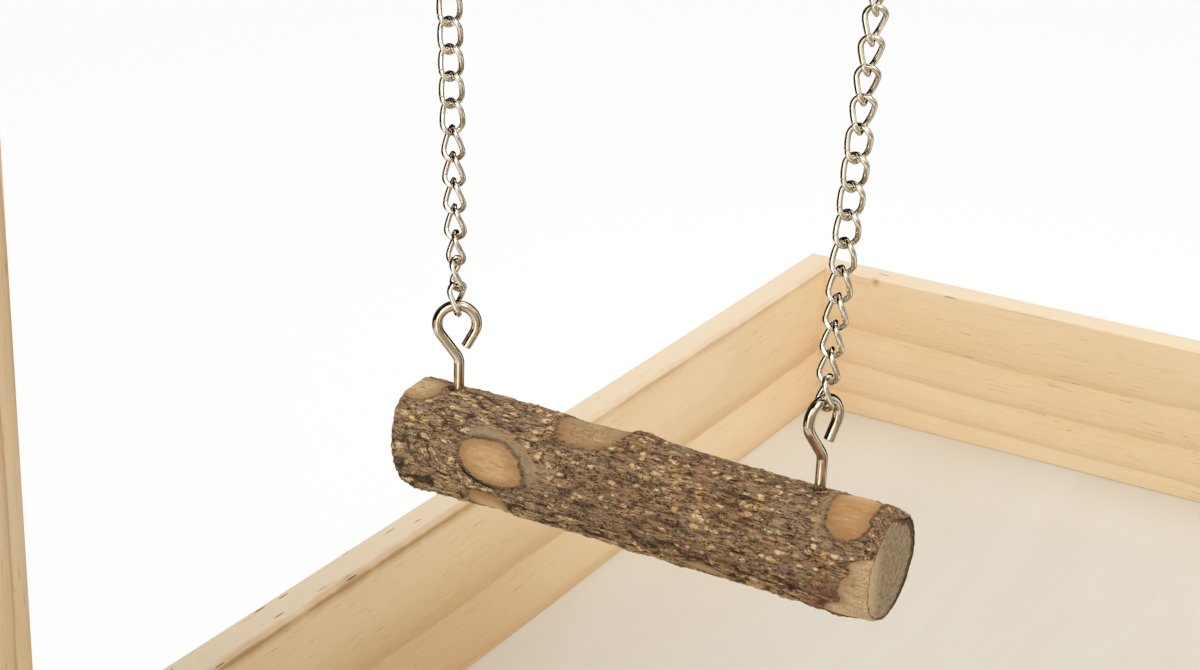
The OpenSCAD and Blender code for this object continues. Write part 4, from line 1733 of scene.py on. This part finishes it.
@dataclass
class Stand:
    """The whole stand, with the sizes that several sub-assemblies share, in millimetres."""

    frame_y: float = -212.0
    tray_half_w: float = 196.0
    tray_half_l: float = 320.0
    wall_t: float = 13.5
    wall_h: float = 75.5
    upright_t: float = 12.0
    upright_top: float = 430.5
    perch_x: float = 4.25
    perch_z: float = 217.0
    perch_l: float = 120.0
    crossbar_z: float = 416.559
    hook_x: float = 46.15
    hook_z: float = 250.915
    hanger_x: float = 52.4485
    hanger_z: float = 382.044
    screw_inset: float = 20.0
    nail_inset: float = 18.0

    def boards(self) -> Boards:
        """The boards, each with its place in the log.

        Returns:
            The boards.
        """
        inner = self.tray_half_w - self.wall_t
        inner_y = self.tray_half_l - self.wall_t
        top = self.upright_top
        return Boards({
            "tray_wall_left": Pine(
                "pine_left", Axis.Y, pith=(-inner - 158.0, 111.1), first_ring=161.96, ring_mm=14.0, seed=0.4,
                # the left board gets painted shade low at its near end, and its brow is partly painted shade
                contrast=0.62, flecks=0.16, fleck_far=130.0, heart=0.5,
                brow=(-inner - 0.2, 0.0, self.wall_h - 1.6)),
            "tray_wall_right": Pine(
                "pine_right", Axis.Y, pith=(inner + 120.0, -40.0), first_ring=134.0, ring_mm=11.0, seed=3.7),
            "tray_wall_back": Pine(
                "pine_back", Axis.X, pith=(inner_y + 100.0, 93.0), first_ring=101.0, ring_mm=9.0, seed=6.2,
                contrast=0.4, pin=(-156.8, inner_y, 73.6)),
            "tray_wall_front": Pine(
                "pine_front", Axis.X, pith=(-inner_y - 90.0, -20.0), first_ring=96.0, ring_mm=8.0, seed=9.1),
            "upright_left": Pine(
                "pine_upright_left", Axis.Z, pith=(-250.0, -260.0), first_ring=60.0, ring_mm=5.0, seed=12.3,
                fleck_z=top),
            "upright_right": Pine(
                "pine_upright_right", Axis.Z, pith=(262.0, -250.0), first_ring=62.0, ring_mm=5.5, seed=15.9,
                fleck_z=top),
            "tray_floor": Ply("veneer_floor"),
        })

    def perch(self) -> Branch:
        """The perch, with the knots and bare places that it shows.

        Returns:
            The branch.
        """
        left, right = -self.perch_l / 2, self.perch_l / 2
        beyond = right + 6.0
        return Branch(
            name="perch", body="perch", centre=(self.perch_x, self.frame_y, self.perch_z),
            length=self.perch_l, diameter=25.8, slant_deg=8.0, bevel=1.2, seed=11,
            scars=[
                # the cut twig at the front, and the shaved flat under it
                Scar(left + 27.3, 17.5, 9.3, 5.0, 0.4, 2.2, Wood.STUB, tilt=-11, callus=1.0, arrow=75,
                     crevice=1.0),
                Scar(left + 24.9, -43, 5.2, 6.2, -0.6, 0.0, Wood.SHAVED, square=2.8, swell_l=5.5),
                # the scoop on top, and the swelling beyond it
                Scar(left + 46.6, 98, 9.0, 9.6, -0.5, 0.0, Wood.SCOOPED, square=2.3, swell_l=9.5),
                Scar(left + 58.0, 98, 0.05, 0.05, 3.0, 1.6, Wood.SCOOPED, swell_l=4.5),
                # the flats at the left and right ends
                Scar(left + 1.0, 86, 7.4, 5.8, -0.7, 0.0, Wood.PEELED, square=2.6, swell_l=8.0),
                Scar(right - 8.0, 78, 5.3, 9.2, 1.7, 2.7, Wood.SHAVED, square=2.8, callus=0.55, arrow=190,
                     swell_l=7.0),
                # a small flat low at the front, and the twig at the back
                Scar(right - 39.5, -44, 5.6, 2.4, -0.5, 0.0, Wood.SHAVED, swell_l=6.0),
                Scar(right - 30, 195, 7.0, 5.2, 0.4, 2.0, Wood.STUB, callus=0.9, crevice=0.7, swell_l=8.0),
            ],
            seats=[(-self.hook_x - self.perch_x + 0.53, 91.6), (self.hook_x - self.perch_x + 0.2, 92.7)],
            peel=[(-180, beyond), (-95, beyond), (-78, 59.0), (-64, 54.0), (-50, 49.5), (-40, 49.0),
                  (-32, 50.5), (-25, 53.0), (-14, 53.4), (-3, 53.6), (6, 54.2), (14, 55.0), (22, 55.6),
                  (27, 57.4), (31, 61), (36, beyond), (180, beyond)],
        )

    def crossbar(self) -> Branch:
        """The branch between the uprights.

        Returns:
            The branch.
        """
        left, right = -self.tray_half_w, self.tray_half_w
        return Branch(
            name="crossbar", body="stand", centre=(0.0, self.frame_y, self.crossbar_z),
            length=right - left, diameter=27.0, rings=470, sides=170, end_rings=10, seed=29,
            scars=[
                Scar(left + 54, 70, 8.5, 5.5, 0.5, 2.4, Wood.STUB, callus=1.0, crevice=0.8, swell_l=10.0),
                Scar(left + 98, 200, 8.0, 5.0, 0.4, 2.2, Wood.STUB, callus=0.9, crevice=0.8, swell_l=9.0),
                Scar(-16, 20, 11.0, 6.0, -0.8, 0.0, Wood.SHAVED, square=2.5, swell_l=11.0),
                Scar(26, 120, 8.0, 5.4, 0.5, 2.4, Wood.STUB, callus=1.0, crevice=0.7, swell_l=9.0),
                Scar(right - 90, 330, 8.5, 5.2, 0.4, 2.2, Wood.STUB, callus=0.9, crevice=0.8, swell_l=10.0),
                Scar(right - 42, 160, 12.0, 6.0, -0.9, 0.0, Wood.SCOOPED, square=2.4, swell_l=12.0),
            ],
            seats=[(side.value * self.hanger_x + 0.65, -90.0) for side in Side],
        )

    def hook(self, side: Side) -> Place:
        """Where a chain hooks into its eye on the perch."""
        return side.value * self.hook_x, self.frame_y, self.hook_z

    def chains(self) -> list[Chain]:
        """Both chains, with the slow turn of their links.

        Returns:
            The chains.
        """
        turns = {
            Side.LEFT: [(0, -80), (1, -55), (2, -30), (3, -15), (6, -8), (7, 22), (8, 30), (11, 35),
                        (21, 135)],
            Side.RIGHT: [(0, -50), (1, -30), (3, -20), (5, 2), (7, 25), (9, 30), (10, 58), (13, 70),
                         (21, 135)],
        }
        return [Chain(side, self.hook(side), turns[side]) for side in Side]

    def eyes(self) -> list[ScrewEye]:
        """The four screw eyes, each turned as it was driven.

        Returns:
            The eyes.
        """
        turn = {Side.LEFT: 35.0, Side.RIGHT: 72.0}
        low = [ScrewEye(f"perch_eye_{side.word}", "perch", self.hook(side), turn[side]) for side in Side]
        high = [ScrewEye(f"hanger_eye_{side.word}", "stand",
                         (side.value * self.hanger_x, self.frame_y, self.hanger_z), flip_deg=180.0)
                for side in Side]
        return low + high

    def fasteners(self) -> list[Fasteners]:
        """Screws of the uprights and the crossbar, and the corner nails.

        Returns:
            The sets.
        """
        face = self.tray_half_w + self.upright_t
        nail_y = self.tray_half_l - self.wall_t / 2
        screw_heights = (self.screw_inset, self.wall_h - self.screw_inset)
        nail_heights = (self.nail_inset, self.wall_h - self.nail_inset)
        uprights = [(side, (side.value * face, self.frame_y, z)) for side in Side for z in screw_heights]
        bar = [(side, (side.value * face, self.frame_y, self.crossbar_z)) for side in Side]
        nails = [(side, (side.value * self.tray_half_w, y, z))
                 for side in Side for y in (-nail_y, nail_y) for z in nail_heights]
        return [
            Fasteners("upright_screws", uprights, shank_l=22.0),
            Fasteners("crossbar_screws", bar, shank_l=40.0),
            Fasteners("wall_nails", nails, shank_l=32.0, shank_d=1.6, head=Head.FLUSH, head_d=3.0,
                      head_h=0.9, sides=32, rings=8),
        ]


def main() -> None:
    """Builds the stand's pieces in order, dresses them and puts up the studio."""
    logging.basicConfig(level=logging.INFO, format="%(name)s: %(message)s")
    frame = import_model()
    stand = Stand()
    eye_plate = Plate("nickel_eye", srgb(214, 202, 182), srgb(176, 158, 132), cloud_mm=6.0)
    # the chain's plating is a brighter copy of the eyes': painted light that makes its reflections read
    # whiter
    chain_plate_brightened = Plate("nickel_chain", srgb(230, 221, 205), srgb(190, 174, 150), cloud_mm=4.0)
    zinc = Plate("zinc", srgb(206, 206, 204), srgb(176, 174, 168), cloud_mm=2.2, rough=0.26, spread=0.2)
    nickel_eye, nickel_chain, zinc_plate = (plate.material() for plate in (eye_plate, chain_plate_brightened, zinc))
    stand.boards().dress(frame["nodes"])
    perch, crossbar = stand.perch(), stand.crossbar()
    # the perch's bark is painted paler left of x = 6 mm: partly painted light
    perch.build(Bark("bark_perch", perch.centre[1:], pale_from=6.0))
    crossbar.build(Bark("bark_crossbar", crossbar.centre[1:]))
    for chain in stand.chains():
        chain.build(nickel_chain)
    for eye in stand.eyes():
        eye.build(nickel_eye)
    for fasteners in stand.fasteners():
        fasteners.build(zinc_plate)
    Studio().build()


if __name__ == "__main__":
    main()
